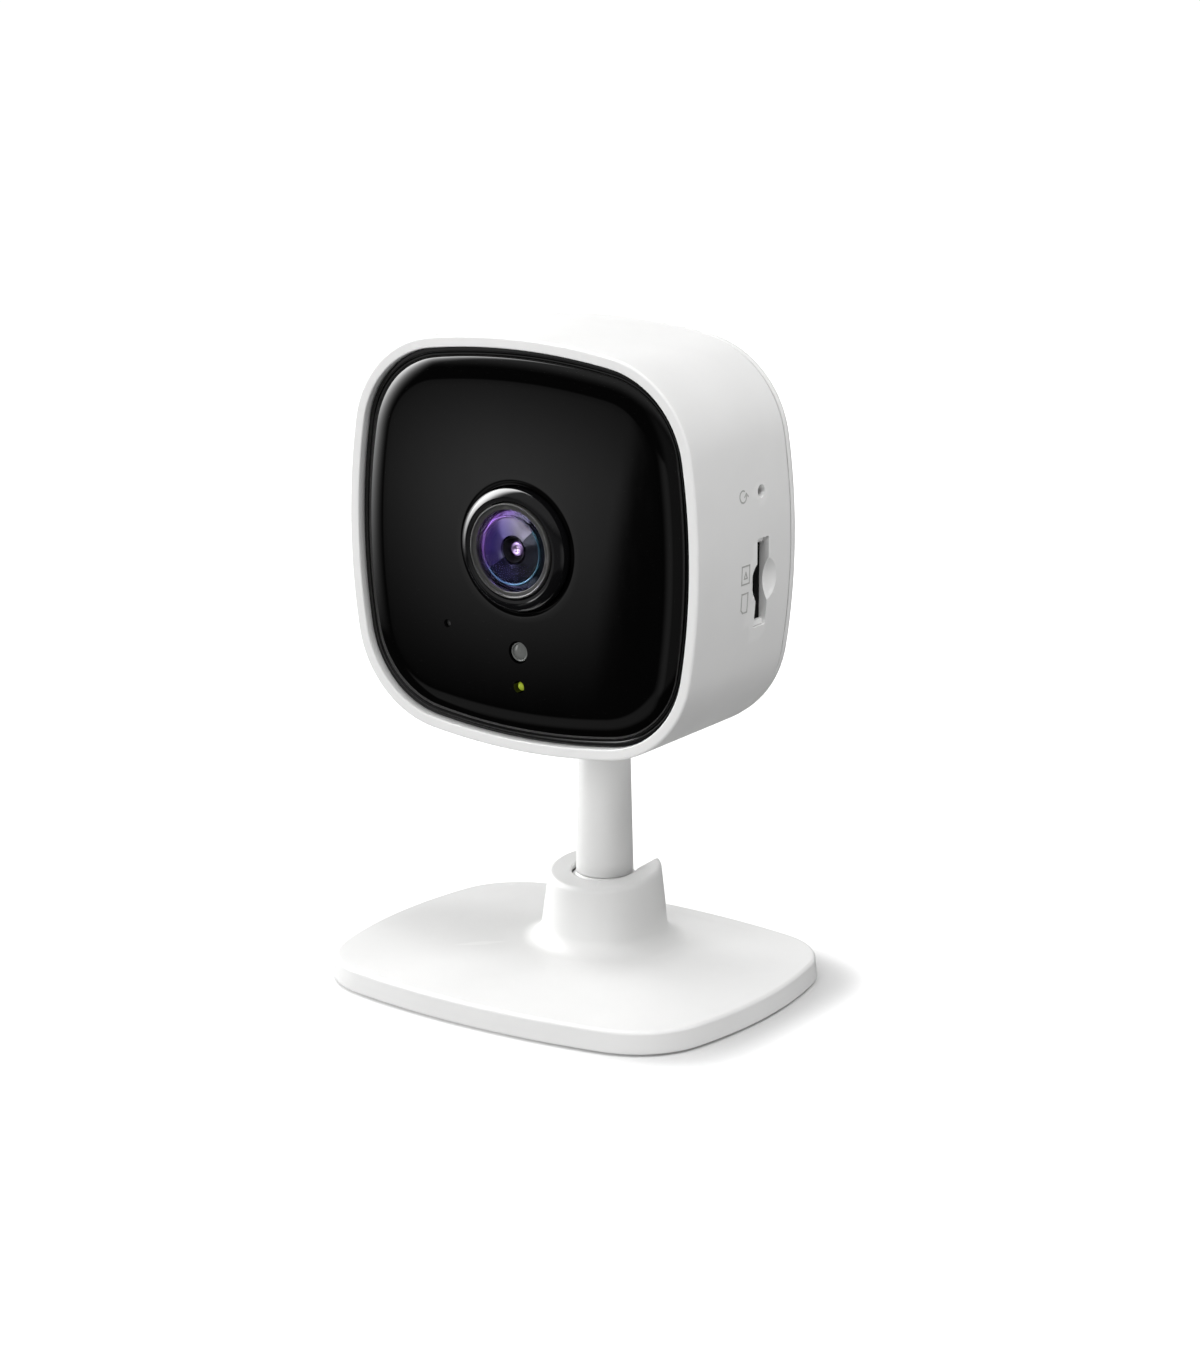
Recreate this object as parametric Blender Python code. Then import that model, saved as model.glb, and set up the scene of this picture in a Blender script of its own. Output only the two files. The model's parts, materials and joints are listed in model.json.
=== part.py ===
"""Indoor security camera: a square head on a round stem, held by a ball joint in a weighted base.

Units are metres, +Z is up, the lens looks along -Y, and the origin is the middle of the base's
underside. The ball tilts about X in the base's collar, and the head swivels about the stem on the
ball's spigot. Lengths below are written in millimetres times MM.
"""
import math

import bmesh
import bpy
from mathutils import Vector

MM = 0.001
GAP = 0.3 * MM                      # clearance between neighbouring pieces

# Base
BASE_HALF_W = 33.8 * MM
BASE_HALF_D = 27.4 * MM
BASE_END_R = 70.0 * MM              # bow of the short ends
BASE_LONG_R = 116.0 * MM            # bow of the long sides
BASE_CORNER_R = 12.7 * MM
BASE_SKIRT_Z = 0.3 * MM
BASE_EDGE_Z = 3.7 * MM
BASE_CROWN_Z = 4.2 * MM
BASE_CEILING_Z = 2.9 * MM
BASE_WALL = 1.6 * MM
BOSS_R = 2.2 * MM
BOSS_X = 24.0 * MM
BOSS_Y = 15.5 * MM

# Ball joint
PIVOT_Y = 7.85 * MM
PIVOT_Z = 9.0 * MM
BALL_R = 6.9 * MM
SOCKET_R = BALL_R + GAP
BALL_FLAT_Z = 14.2 * MM
COLLAR_FOOT_R = 9.45 * MM
COLLAR_TOP_R = 8.3 * MM
COLLAR_MOUTH_R = 4.95 * MM
COLLAR_Z = 15.05 * MM               # height of the rim over the pivot
COLLAR_SLOPE = 0.126                # the rim rises towards the rear
CUP_BORE_R = 8.2 * MM
CUP_LEDGE_Z = 6.9 * MM
NOTCH_FLOOR_Z = 4.35 * MM
SPIGOT_R = 2.4 * MM

# Stem
STEM_BASE_Z = BALL_FLAT_Z + GAP
STEM_BASE_R = 4.33 * MM
STEM_TOP_R = 3.74 * MM
STEM_NECK_R = 2.9 * MM
STEM_WEB_Z = 24.0 * MM
STEM_END_Z = 46.5 * MM

# Head
HEAD_Z = 68.2 * MM
HEAD_HALF_W = 30.3 * MM
HEAD_HALF_H = 30.0 * MM
HEAD_SIDE_R = 97.0 * MM
HEAD_TOP_R = 105.0 * MM
HEAD_CORNER_R = 15.9 * MM
HEAD_FRONT_Y = -14.0 * MM
HEAD_REAR_Y = 10.5 * MM
SHELL_WALL = 1.6 * MM
GLASS_BRIM_Y = -11.8 * MM
GLASS_FACE_Y = -14.4 * MM
COVER_BACK_Y = 13.5 * MM

# Lens and front face details
LENS_HOLE_R = 10.6 * MM
BEZEL_R = 10.15 * MM
BEZEL_FRONT_Y = -16.25 * MM
BARREL_R = 7.15 * MM
WINDOW_Z = 53.0 * MM
WINDOW_R = 1.65 * MM
LED_Z = 47.85 * MM
LED_R = 0.9 * MM
MIC_X = -12.6 * MM
MIC_Z = 55.5 * MM
MIC_R = 0.6 * MM
EMITTER_X = 15.5 * MM
EMITTER_DZ = 9.0 * MM

# Right-hand side details
PORT_Y = 2.95 * MM
RESET_Z = 77.1 * MM
RESET_R = 0.95 * MM
SLOT_Z = 64.0 * MM
SLOT_LENGTH = 13.0 * MM
SLOT_WIDTH = 3.1 * MM

# Electronics
BOARD_FRONT_Y = 4.2 * MM
BOARD_BACK_Y = 5.4 * MM
SPEAKER_Z = 76.0 * MM
JACK_Z = 52.0 * MM

PIVOT = Vector((0.0, PIVOT_Y, PIVOT_Z))
HEAD_CENTRE = Vector((0.0, 0.0, HEAD_Z))

MATERIALS = {
    "white_plastic": ((0.86, 0.86, 0.85), 0.42, 0.0),
    "grey_plastic": ((0.42, 0.43, 0.44), 0.5, 0.0),
    "black_plastic": ((0.02, 0.02, 0.022), 0.45, 0.0),
    "black_gloss": ((0.006, 0.006, 0.008), 0.06, 0.0),
    "acetal": ((0.78, 0.77, 0.72), 0.4, 0.0),
    "rubber": ((0.03, 0.03, 0.03), 0.8, 0.0),
    "steel": ((0.56, 0.57, 0.58), 0.32, 1.0),
    "copper": ((0.72, 0.38, 0.22), 0.35, 1.0),
    "coated_glass": ((0.05, 0.03, 0.12), 0.03, 0.0),
    "light_guide": ((0.62, 0.64, 0.6), 0.2, 0.0),
    "green_light": ((0.55, 0.75, 0.12), 0.25, 0.0),
    "circuit_board": ((0.02, 0.16, 0.07), 0.45, 0.0),
    "silicon": ((0.05, 0.06, 0.09), 0.15, 0.3),
    "foam": ((0.05, 0.05, 0.05), 0.95, 0.0),
}


def material(name):
    """Return the named Principled material, made on first use."""
    found = bpy.data.materials.get(name)
    if found:
        return found
    colour, roughness, metallic = MATERIALS[name]
    made = bpy.data.materials.new(name)
    made.use_nodes = True
    shader = made.node_tree.nodes["Principled BSDF"]
    shader.inputs["Base Color"].default_value = (*colour, 1.0)
    shader.inputs["Roughness"].default_value = roughness
    shader.inputs["Metallic"].default_value = metallic
    return made


def empty(name, place, parent=None):
    """Add an empty, which carries a moving body's pieces on its joint's axis."""
    made = bpy.data.objects.new(name, None)
    bpy.context.collection.objects.link(made)
    made.location = place
    if parent:
        made.parent = parent
        made.matrix_parent_inverse.translation = -parent.matrix_world.translation
    bpy.context.view_layer.update()
    return made


def finish(name, bm, finish_name, body, smooth=35.0):
    """Turn a bmesh into a named object with outward faces, riding on its body's empty."""
    bmesh.ops.recalc_face_normals(bm, faces=bm.faces)
    mesh = bpy.data.meshes.new(name)
    bm.to_mesh(mesh)
    bm.free()
    made = bpy.data.objects.new(name, mesh)
    bpy.context.collection.objects.link(made)
    if finish_name:
        mesh.materials.append(material(finish_name))
    if smooth:
        mesh.shade_smooth()
        mesh.set_sharp_from_angle(angle=math.radians(smooth))
    if body:
        made.parent = body
        made.matrix_parent_inverse.translation = -body.matrix_world.translation
    return made


def hide_cutter(cutter):
    """Keep a cutting shape out of the build and out of renders."""
    cutter.hide_render = True
    cutter.display_type = "WIRE"


def combine(target, tool, operation):
    """Apply a cutting or joining shape to a piece with an exact Boolean."""
    hide_cutter(tool)
    modifier = target.modifiers.new(operation.lower(), "BOOLEAN")
    modifier.operation = operation
    modifier.solver = "EXACT"
    modifier.object = tool


def cut(target, tool):
    combine(target, tool, "DIFFERENCE")


def join(target, tool):
    combine(target, tool, "UNION")


def rounded_outline(half_w, half_h, side_r, top_r, corner_r, side_steps, corner_steps):
    """Outline of a square with bowed sides, as (point, outward normal) pairs, anticlockwise.

    Each quarter is three arcs that meet smoothly, so an inset along the normals is exact.
    """
    side_centre = Vector((half_w - side_r, 0.0))
    top_centre = Vector((0.0, half_h - top_r))
    across = top_centre - side_centre
    distance = across.length
    reach_side = side_r - corner_r
    reach_top = top_r - corner_r
    along = (reach_side**2 - reach_top**2 + distance**2) / (2 * distance)
    offset = math.sqrt(reach_side**2 - along**2)
    unit = across / distance
    corner = side_centre + unit * along + Vector((-unit.y, unit.x)) * offset
    first = math.atan2(corner.y, corner.x - side_centre.x)
    last = math.atan2(corner.y - top_centre.y, corner.x)
    quarter = []
    for step in range(side_steps):
        quarter.append((side_centre, side_r, first * step / side_steps))
    for step in range(corner_steps):
        quarter.append((corner, corner_r, first + (last - first) * step / corner_steps))
    for step in range(side_steps):
        quarter.append((top_centre, top_r, last + (math.pi / 2 - last) * step / side_steps))
    points = []
    for centre, radius, angle in quarter:
        normal = Vector((math.cos(angle), math.sin(angle)))
        points.append((centre + normal * radius, normal))
    points.append((Vector((0.0, half_h)), Vector((0.0, 1.0))))
    mirrored = [(Vector((-p.x, p.y)), Vector((-n.x, n.y))) for p, n in reversed(points[:-1])]
    upper = points + mirrored
    lower = [(-p, -n) for p, n in upper[1:-1]]
    return upper + lower


HEAD_OUTLINE = rounded_outline(
    HEAD_HALF_W, HEAD_HALF_H, HEAD_SIDE_R, HEAD_TOP_R, HEAD_CORNER_R, 2, 6)
BASE_OUTLINE = rounded_outline(
    BASE_HALF_W, BASE_HALF_D, BASE_END_R, BASE_LONG_R, BASE_CORNER_R, 2, 5)


def head_ring(inset, y, towards=0.0, radius=LENS_HOLE_R):
    """Ring of the head's outline at depth y, drawn `towards` of the way to a centred circle."""
    ring = []
    for point, normal in HEAD_OUTLINE:
        flat = point - normal * inset
        flat = flat.lerp(point.normalized() * radius, towards)
        ring.append(Vector((flat.x, y, HEAD_Z + flat.y)))
    return ring


def base_ring(inset, z, towards=0.0, radius=0.0, slope=0.0):
    """Ring of the base's outline at height z, drawn `towards` of the way to the collar's circle."""
    ring = []
    centre = Vector((0.0, PIVOT_Y))
    for point, normal in BASE_OUTLINE:
        flat = point - normal * inset
        around = centre + (point - centre).normalized() * radius
        flat = flat.lerp(around, towards)
        ring.append(Vector((flat.x, flat.y, z + slope * (flat.y - PIVOT_Y))))
    return ring


def loft(name, rings, finish_name, body, closed=False):
    """Skin equal rings in turn; `closed` joins the last to the first, otherwise ends are capped."""
    bm = bmesh.new()
    loops = [[bm.verts.new(point) for point in ring] for ring in rings]
    pairs = list(zip(loops, loops[1:]))
    if closed:
        pairs.append((loops[-1], loops[0]))
    count = len(rings[0])
    for low, high in pairs:
        for i in range(count):
            j = (i + 1) % count
            bm.faces.new((low[i], low[j], high[j], high[i]))
    if not closed:
        bm.faces.new(loops[0])
        bm.faces.new(loops[-1])
    return finish(name, bm, finish_name, body)


def turned(name, profile, centre, axis, finish_name, body, steps=24):
    """Turn a profile of (radius, height) points about an axis through centre.

    A profile that starts and ends on the axis makes a solid; any other is closed into a ring.
    """
    axis = Vector(axis)
    side = axis.orthogonal().normalized()
    bm = bmesh.new()
    points = [bm.verts.new(centre + side * r + axis * h) for r, h in profile]
    edges = [bm.edges.new(pair) for pair in zip(points, points[1:])]
    if profile[0][0] > 0:
        edges.append(bm.edges.new((points[-1], points[0])))
    bmesh.ops.spin(bm, geom=points + edges, cent=centre, axis=axis, dvec=(0, 0, 0),
                   angle=math.tau, steps=steps, use_merge=True, use_duplicate=False)
    bmesh.ops.remove_doubles(bm, verts=bm.verts, dist=0.001 * MM)
    return finish(name, bm, finish_name, body)


def rod(name, radius, start, end, finish_name, body, steps=16):
    """A plain cylinder from one point to another."""
    start = Vector(start)
    along = Vector(end) - start
    length = along.length
    profile = [(0, 0), (radius, 0), (radius, length), (0, length)]
    return turned(name, profile, start, along / length, finish_name, body, steps)


def block(name, low, high, finish_name, body, bevel=0.0):
    """A box between two corners, with its edges chamfered by `bevel`."""
    low = Vector(low)
    high = Vector(high)
    bm = bmesh.new()
    bmesh.ops.create_cube(bm, size=1.0)
    size = high - low
    for vert in bm.verts:
        vert.co = low + Vector((size[i] * (vert.co[i] + 0.5) for i in range(3)))
    if bevel:
        bmesh.ops.bevel(bm, geom=bm.edges[:], offset=bevel, segments=1, affect="EDGES")
    return finish(name, bm, finish_name, body, smooth=0)


def cylinders(name, radius, rods, steps=12):
    """One cutting or joining tool made of several separate cylinders."""
    bm = bmesh.new()
    for start, end in rods:
        start = Vector(start)
        end = Vector(end)
        turn = (end - start).to_track_quat("Z", "Y").to_matrix().to_4x4()
        turn.translation = (start + end) / 2
        bmesh.ops.create_cone(bm, cap_ends=True, segments=steps, radius1=radius, radius2=radius,
                              depth=(end - start).length, matrix=turn)
    return finish(name, bm, None, None, smooth=0)


def arc_points(centre_r, centre_h, radius, start, end, steps):
    """Profile points along an arc, with its angles in degrees from the outward direction."""
    points = []
    for step in range(steps + 1):
        angle = math.radians(start + (end - start) * step / steps)
        points.append((centre_r + radius * math.cos(angle), centre_h + radius * math.sin(angle)))
    return points


def screw(name, place, direction, head_r, head_h, shank_r, length, body):
    """A pan-head screw: place is the middle of the head's outer face, direction runs down it."""
    profile = [(0, 0), (head_r - 0.25 * MM, 0), (head_r, 0.25 * MM), (head_r, head_h),
               (shank_r, head_h), (shank_r, head_h + length), (0, head_h + length)]
    return turned(name, profile, Vector(place), direction, "steel", body, 10)


# ---- Base ----------------------------------------------------------------------------------

def base_top(body):
    """Skirt, crowned deck, collar and ball socket, moulded in one piece."""
    rings = [
        base_ring(0.25 * MM, BASE_SKIRT_Z),
        base_ring(0.0, 0.6 * MM),
        base_ring(0.3 * MM, BASE_EDGE_Z - 0.55 * MM),
        base_ring(0.45 * MM, BASE_EDGE_Z - 0.15 * MM),
        base_ring(0.85 * MM, BASE_EDGE_Z),
        base_ring(3.0 * MM, BASE_EDGE_Z + 0.1 * MM),
        base_ring(3.0 * MM, BASE_EDGE_Z + 0.28 * MM, 0.35, COLLAR_FOOT_R + 4.5 * MM),
        base_ring(3.0 * MM, BASE_CROWN_Z - 0.08 * MM, 0.7, COLLAR_FOOT_R + 4.5 * MM),
        base_ring(0, BASE_CROWN_Z, 1.0, COLLAR_FOOT_R + 3.0 * MM),
        base_ring(0, BASE_CROWN_Z + 0.35 * MM, 1.0, COLLAR_FOOT_R + 1.5 * MM),
        base_ring(0, BASE_CROWN_Z + 1.1 * MM, 1.0, COLLAR_FOOT_R + 0.5 * MM),
        base_ring(0, BASE_CROWN_Z + 2.6 * MM, 1.0, COLLAR_FOOT_R),
        base_ring(0, COLLAR_Z - 0.6 * MM, 1.0, COLLAR_TOP_R, COLLAR_SLOPE),
        base_ring(0, COLLAR_Z - 0.15 * MM, 1.0, COLLAR_TOP_R - 0.15 * MM, COLLAR_SLOPE),
        base_ring(0, COLLAR_Z, 1.0, COLLAR_TOP_R - 0.55 * MM, COLLAR_SLOPE),
        base_ring(0, COLLAR_Z, 1.0, COLLAR_MOUTH_R + 0.2 * MM, COLLAR_SLOPE),
    ]
    mouth = math.degrees(math.acos(COLLAR_MOUTH_R / SOCKET_R))
    for step in range(6):
        angle = math.radians(mouth * (1 - step / 5) - 17.0 * step / 5)
        height = PIVOT_Z + SOCKET_R * math.sin(angle)
        rings.append(base_ring(0, height, 1.0, SOCKET_R * math.cos(angle)))
    rings += [
        base_ring(0, CUP_LEDGE_Z, 1.0, CUP_BORE_R),
        base_ring(0, BASE_CEILING_Z, 1.0, CUP_BORE_R),
        base_ring(BASE_WALL, BASE_CEILING_Z),
        base_ring(BASE_WALL, BASE_SKIRT_Z),
    ]
    made = loft("base_top", rings, "white_plastic", body, closed=True)
    places = boss_places()
    join(made, cylinders("boss_tool", BOSS_R,
                         [((x, y, 1.75 * MM), (x, y, BASE_CEILING_Z + 0.3 * MM))
                          for x, y in places], 16))
    cut(made, cylinders("pilot_tool", 1.1 * MM,
                        [((x, y, 1.0 * MM), (x, y, 3.3 * MM)) for x, y in places]))
    cut(made, notch_tool())
    return made


def notch_tool():
    """Wedge that opens the rear of the collar and the cup, so the stem can lie back flat."""
    near = PIVOT_Y + 1.5 * MM
    far = PIVOT_Y + COLLAR_FOOT_R + 3.2 * MM
    bm = bmesh.new()
    outline = [(-COLLAR_MOUTH_R, near), (COLLAR_MOUTH_R, near),
               (COLLAR_MOUTH_R + 1.1 * MM, far), (-COLLAR_MOUTH_R - 1.1 * MM, far)]
    face = bm.faces.new([bm.verts.new((x, y, NOTCH_FLOOR_Z)) for x, y in outline])
    raised = bmesh.ops.extrude_face_region(bm, geom=[face])
    tops = [item for item in raised["geom"] if isinstance(item, bmesh.types.BMVert)]
    bmesh.ops.translate(bm, verts=tops, vec=(0, 0, 16 * MM))
    floor_edges = [edge for edge in bm.edges
                   if all(v.co.z < NOTCH_FLOOR_Z + 0.1 * MM for v in edge.verts)
                   and abs(edge.verts[0].co.y - edge.verts[1].co.y) > 1 * MM]
    bmesh.ops.bevel(bm, geom=floor_edges, offset=2.4 * MM, segments=4, affect="EDGES",
                    profile=0.5)
    return finish("notch_tool", bm, None, None, smooth=0)


def boss_places():
    return [(x, y) for x in (-BOSS_X, BOSS_X) for y in (-BOSS_Y, BOSS_Y)]


def sheet_on_base(name, inset, low, high, finish_name, body):
    """A flat plate that follows the base's outline."""
    return loft(name, [base_ring(inset, low), base_ring(inset, high)], finish_name, body)


def base_inside(body):
    """Everything under the deck: weight, cup, spring, bottom plate, pad and screws."""
    places = boss_places()
    weight = loft("base_weight", [
        base_ring(2.1 * MM, 1.75 * MM),
        base_ring(2.1 * MM, BASE_CEILING_Z - GAP),
        base_ring(0, BASE_CEILING_Z - GAP, 1.0, CUP_BORE_R + 0.4 * MM),
        base_ring(0, 1.75 * MM, 1.0, CUP_BORE_R + 0.4 * MM)], "steel", body, closed=True)
    cut(weight, cylinders("weight_tool", BOSS_R + GAP,
                          [((x, y, 1.0 * MM), (x, y, 3.5 * MM)) for x, y in places], 16))
    seat = arc_points(0, PIVOT_Z, SOCKET_R, -19.5, -55.0, 4)
    cup = [(CUP_BORE_R - GAP, 2.3 * MM), (CUP_BORE_R - GAP, 6.2 * MM),
           (CUP_BORE_R - 2 * GAP, 6.6 * MM), *seat, (3.9 * MM, 2.3 * MM)]
    made = turned("ball_cup", cup, Vector((0, PIVOT_Y, 0)), (0, 0, 1), "acetal", body)
    cut(made, notch_tool())
    wave_spring(body)
    plate = sheet_on_base("base_plate", BASE_WALL + GAP, 0.9 * MM, 1.4 * MM,
                          "grey_plastic", body)
    cut(plate, cylinders("plate_tool", 1.1 * MM,
                         [((x, y, 0.2 * MM), (x, y, 2.0 * MM)) for x, y in places]))
    pad = sheet_on_base("foot_pad", 4.0 * MM, 0.0, 0.6 * MM, "rubber", body)
    cut(pad, cylinders("pad_tool", 2.0 * MM,
                       [((x, y, -1.0 * MM), (x, y, 2.0 * MM)) for x, y in places], 16))
    for index, (x, y) in enumerate(places, 1):
        screw(f"base_screw_{index}", (x, y, 0.15 * MM), (0, 0, 1), 1.6 * MM, 0.45 * MM,
              0.75 * MM, 2.3 * MM, body)


def wave_spring(body):
    """Waved spring washer that presses the cup up against the ball."""
    inner = 5.2 * MM
    outer = 7.6 * MM
    thickness = 0.2 * MM
    rings = []
    for radius, lift in ((inner, 0), (outer, 0), (outer, thickness), (inner, thickness)):
        ring = []
        for step in range(24):
            angle = math.tau * step / 24
            wave = 0.1 * MM * math.sin(3 * angle)
            ring.append(Vector((radius * math.cos(angle), PIVOT_Y + radius * math.sin(angle),
                                1.77 * MM + wave + lift)))
        rings.append(ring)
    loft("cup_spring", rings, "steel", body, closed=True)


# ---- Ball and stem -------------------------------------------------------------------------

def ball_pieces(body):
    """The ball with its spigot, and the screw and washer that hold the stem on it."""
    foot = Vector((0, PIVOT_Y, PIVOT_Z))
    flat = BALL_FLAT_Z - PIVOT_Z
    rise = math.degrees(math.asin(flat / BALL_R))
    profile = [(0, -BALL_R), *arc_points(0, 0, BALL_R, -74, rise, 8),
               (SPIGOT_R, flat), (SPIGOT_R, 14.7 * MM), (1.2 * MM, 14.7 * MM),
               (1.2 * MM, 8.5 * MM), (0, 8.5 * MM)]
    turned("ball", profile, foot, (0, 0, 1), "white_plastic", body, 22)
    web_top = STEM_WEB_Z + 1.5 * MM
    washer = [(1.15 * MM, 0), (1.85 * MM, 0), (1.85 * MM, 0.4 * MM), (1.15 * MM, 0.4 * MM)]
    turned("swivel_washer", washer, Vector((0, PIVOT_Y, web_top + GAP)), (0, 0, 1),
           "steel", body, 16)
    screw("swivel_screw", (0, PIVOT_Y, web_top + 2.5 * MM), (0, 0, -1), 1.8 * MM,
          1.5 * MM, 0.85 * MM, 7.0 * MM, body)


def stem(body):
    """Tapered tube: its lower bore turns on the spigot, its neck passes into the head."""
    underside = HEAD_Z - HEAD_HALF_H
    bore = SPIGOT_R + GAP
    upper = 2.15 * MM
    web_top = STEM_WEB_Z + 1.5 * MM
    lip = STEM_END_Z - 1.2 * MM
    profile = [
        (bore, STEM_BASE_Z), (STEM_BASE_R - 0.15 * MM, STEM_BASE_Z),
        (STEM_BASE_R, STEM_BASE_Z + 0.3 * MM), (STEM_TOP_R, underside - GAP),
        (STEM_NECK_R, underside - GAP), (STEM_NECK_R, lip), (3.6 * MM, lip),
        (3.6 * MM, STEM_END_Z), (upper, STEM_END_Z), (upper, web_top),
        (1.2 * MM, web_top), (1.2 * MM, STEM_WEB_Z), (bore, STEM_WEB_Z),
    ]
    turned("stem", profile, Vector((0, PIVOT_Y, 0)), (0, 0, 1), "white_plastic", body, 20)
    clamp = block("stem_clamp", (-8.5 * MM, 3.2 * MM, 40.2 * MM), (8.5 * MM, 8.4 * MM, 45.0 * MM),
                  "black_plastic", body, 0.3 * MM)
    cut(clamp, cylinders("clamp_tool", STEM_NECK_R + GAP,
                         [((0, PIVOT_Y, 38 * MM), (0, PIVOT_Y, 47 * MM))], 20))
    holes = [((x, 5.6 * MM, 39 * MM), (x, 5.6 * MM, 46 * MM)) for x in (-6.2 * MM, 6.2 * MM)]
    cut(clamp, cylinders("clamp_screw_tool", 1.1 * MM, holes))
    for side, x in (("left", -6.2 * MM), ("right", 6.2 * MM)):
        screw(f"clamp_screw_{side}", (x, 5.6 * MM, 46.6 * MM), (0, 0, -1), 1.7 * MM, 1.2 * MM,
              0.75 * MM, 4.8 * MM, body)


# ---- Head ----------------------------------------------------------------------------------

def shell(body):
    """The square sleeve of the head, open at both ends."""
    made = loft("shell", [
        head_ring(0.35 * MM, HEAD_FRONT_Y),
        head_ring(0.1 * MM, HEAD_FRONT_Y + 0.1 * MM),
        head_ring(0.0, HEAD_FRONT_Y + 0.35 * MM),
        head_ring(0.0, HEAD_REAR_Y - 0.2 * MM),
        head_ring(0.2 * MM, HEAD_REAR_Y),
        head_ring(SHELL_WALL, HEAD_REAR_Y),
        head_ring(SHELL_WALL, HEAD_FRONT_Y + 0.15 * MM),
        head_ring(SHELL_WALL - 0.15 * MM, HEAD_FRONT_Y)], "white_plastic", body, closed=True)
    cut(made, cylinders("neck_tool", STEM_NECK_R + GAP,
                        [((0, PIVOT_Y, 34 * MM), (0, PIVOT_Y, 43 * MM))], 24))
    cut(made, cylinders("reset_tool", RESET_R,
                        [((26 * MM, PORT_Y, RESET_Z), (33 * MM, PORT_Y, RESET_Z))], 16))
    half_l = SLOT_LENGTH / 2
    half_w = SLOT_WIDTH / 2
    slot = block("slot_tool", (26 * MM, PORT_Y - half_w, SLOT_Z - half_l),
                 (33 * MM, PORT_Y + half_w, SLOT_Z + half_l), None, None)
    cut(made, slot)
    cut(made, thumb_tool())
    return made


def thumb_tool():
    """Shallow ball-shaped dimple across the card slot, for a fingertip."""
    width = 3.5 * MM
    depth = 1.2 * MM
    radius = (width**2 + depth**2) / (2 * depth)
    bm = bmesh.new()
    bmesh.ops.create_uvsphere(bm, u_segments=20, v_segments=14, radius=radius)
    made = finish("thumb_tool", bm, None, None, smooth=0)
    made.rotation_euler = (0, math.pi / 2, 0)
    made.location = (HEAD_HALF_W - depth + radius, PORT_Y + 0.4 * MM, SLOT_Z)
    return made


def front_glass(body):
    """Black face: a flat brim inside the shell's rim, and a pillowed middle round the lens."""
    rings = [
        head_ring(1.9 * MM, GLASS_BRIM_Y),
        head_ring(2.75 * MM, GLASS_BRIM_Y),
        head_ring(2.85 * MM, GLASS_BRIM_Y - 0.6 * MM),
        head_ring(3.15 * MM, GLASS_BRIM_Y - 1.1 * MM),
        head_ring(3.8 * MM, GLASS_BRIM_Y - 1.5 * MM),
        head_ring(5.0 * MM, GLASS_BRIM_Y - 1.75 * MM),
    ]
    shoulder = GLASS_BRIM_Y - 1.75 * MM
    steps = 4
    for step in range(1, steps + 1):
        part = step / steps
        depth = shoulder + (GLASS_FACE_Y - shoulder) * math.sin(part * math.pi / 2)
        rings.append(head_ring(5.0 * MM, depth, part))
    rings += [
        head_ring(0, GLASS_FACE_Y + 1.2 * MM, 1.0),
        head_ring(5.0 * MM, GLASS_FACE_Y + 1.9 * MM, 0.2),
        head_ring(4.1 * MM, GLASS_BRIM_Y - 0.3 * MM),
        head_ring(4.1 * MM, GLASS_BRIM_Y + 1.4 * MM),
        head_ring(1.9 * MM, GLASS_BRIM_Y + 1.4 * MM),
    ]
    made = loft("front_glass", rings, "black_gloss", body, closed=True)
    cut(made, cylinders("window_tool", WINDOW_R,
                        [((0, -17 * MM, WINDOW_Z), (0, -10 * MM, WINDOW_Z))], 16))
    cut(made, cylinders("led_tool", LED_R,
                        [((0, -17 * MM, LED_Z), (0, -10 * MM, LED_Z))]))
    cut(made, cylinders("mic_tool", MIC_R,
                        [((MIC_X, -17 * MM, MIC_Z), (MIC_X, -10 * MM, MIC_Z))]))
    return made


def emitter_places():
    return [(x, HEAD_Z + dz) for x in (-EMITTER_X, EMITTER_X) for dz in (-EMITTER_DZ, EMITTER_DZ)]


def front_frame(body):
    """Black carrier plate behind the glass, with openings for the lens, lights and microphone."""
    made = loft("front_frame", [
        head_ring(2.2 * MM, -10.1 * MM),
        head_ring(0, -10.1 * MM, 1.0, BARREL_R + 0.6 * MM),
        head_ring(0, -8.9 * MM, 1.0, BARREL_R + 0.6 * MM),
        head_ring(3.2 * MM, -8.9 * MM),
        head_ring(3.2 * MM, -6.4 * MM),
        head_ring(2.2 * MM, -6.4 * MM)], "black_plastic", body, closed=True)
    holes = [((x, -12 * MM, z), (x, -8 * MM, z)) for x, z in emitter_places()]
    holes += [((x, -12 * MM, z), (x, -8 * MM, z)) for x, z in ((0, WINDOW_Z), (0, LED_Z))]
    holes.append(((MIC_X, -12 * MM, MIC_Z), (MIC_X, -8 * MM, MIC_Z)))
    cut(made, cylinders("frame_tool", 1.9 * MM, holes))


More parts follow.
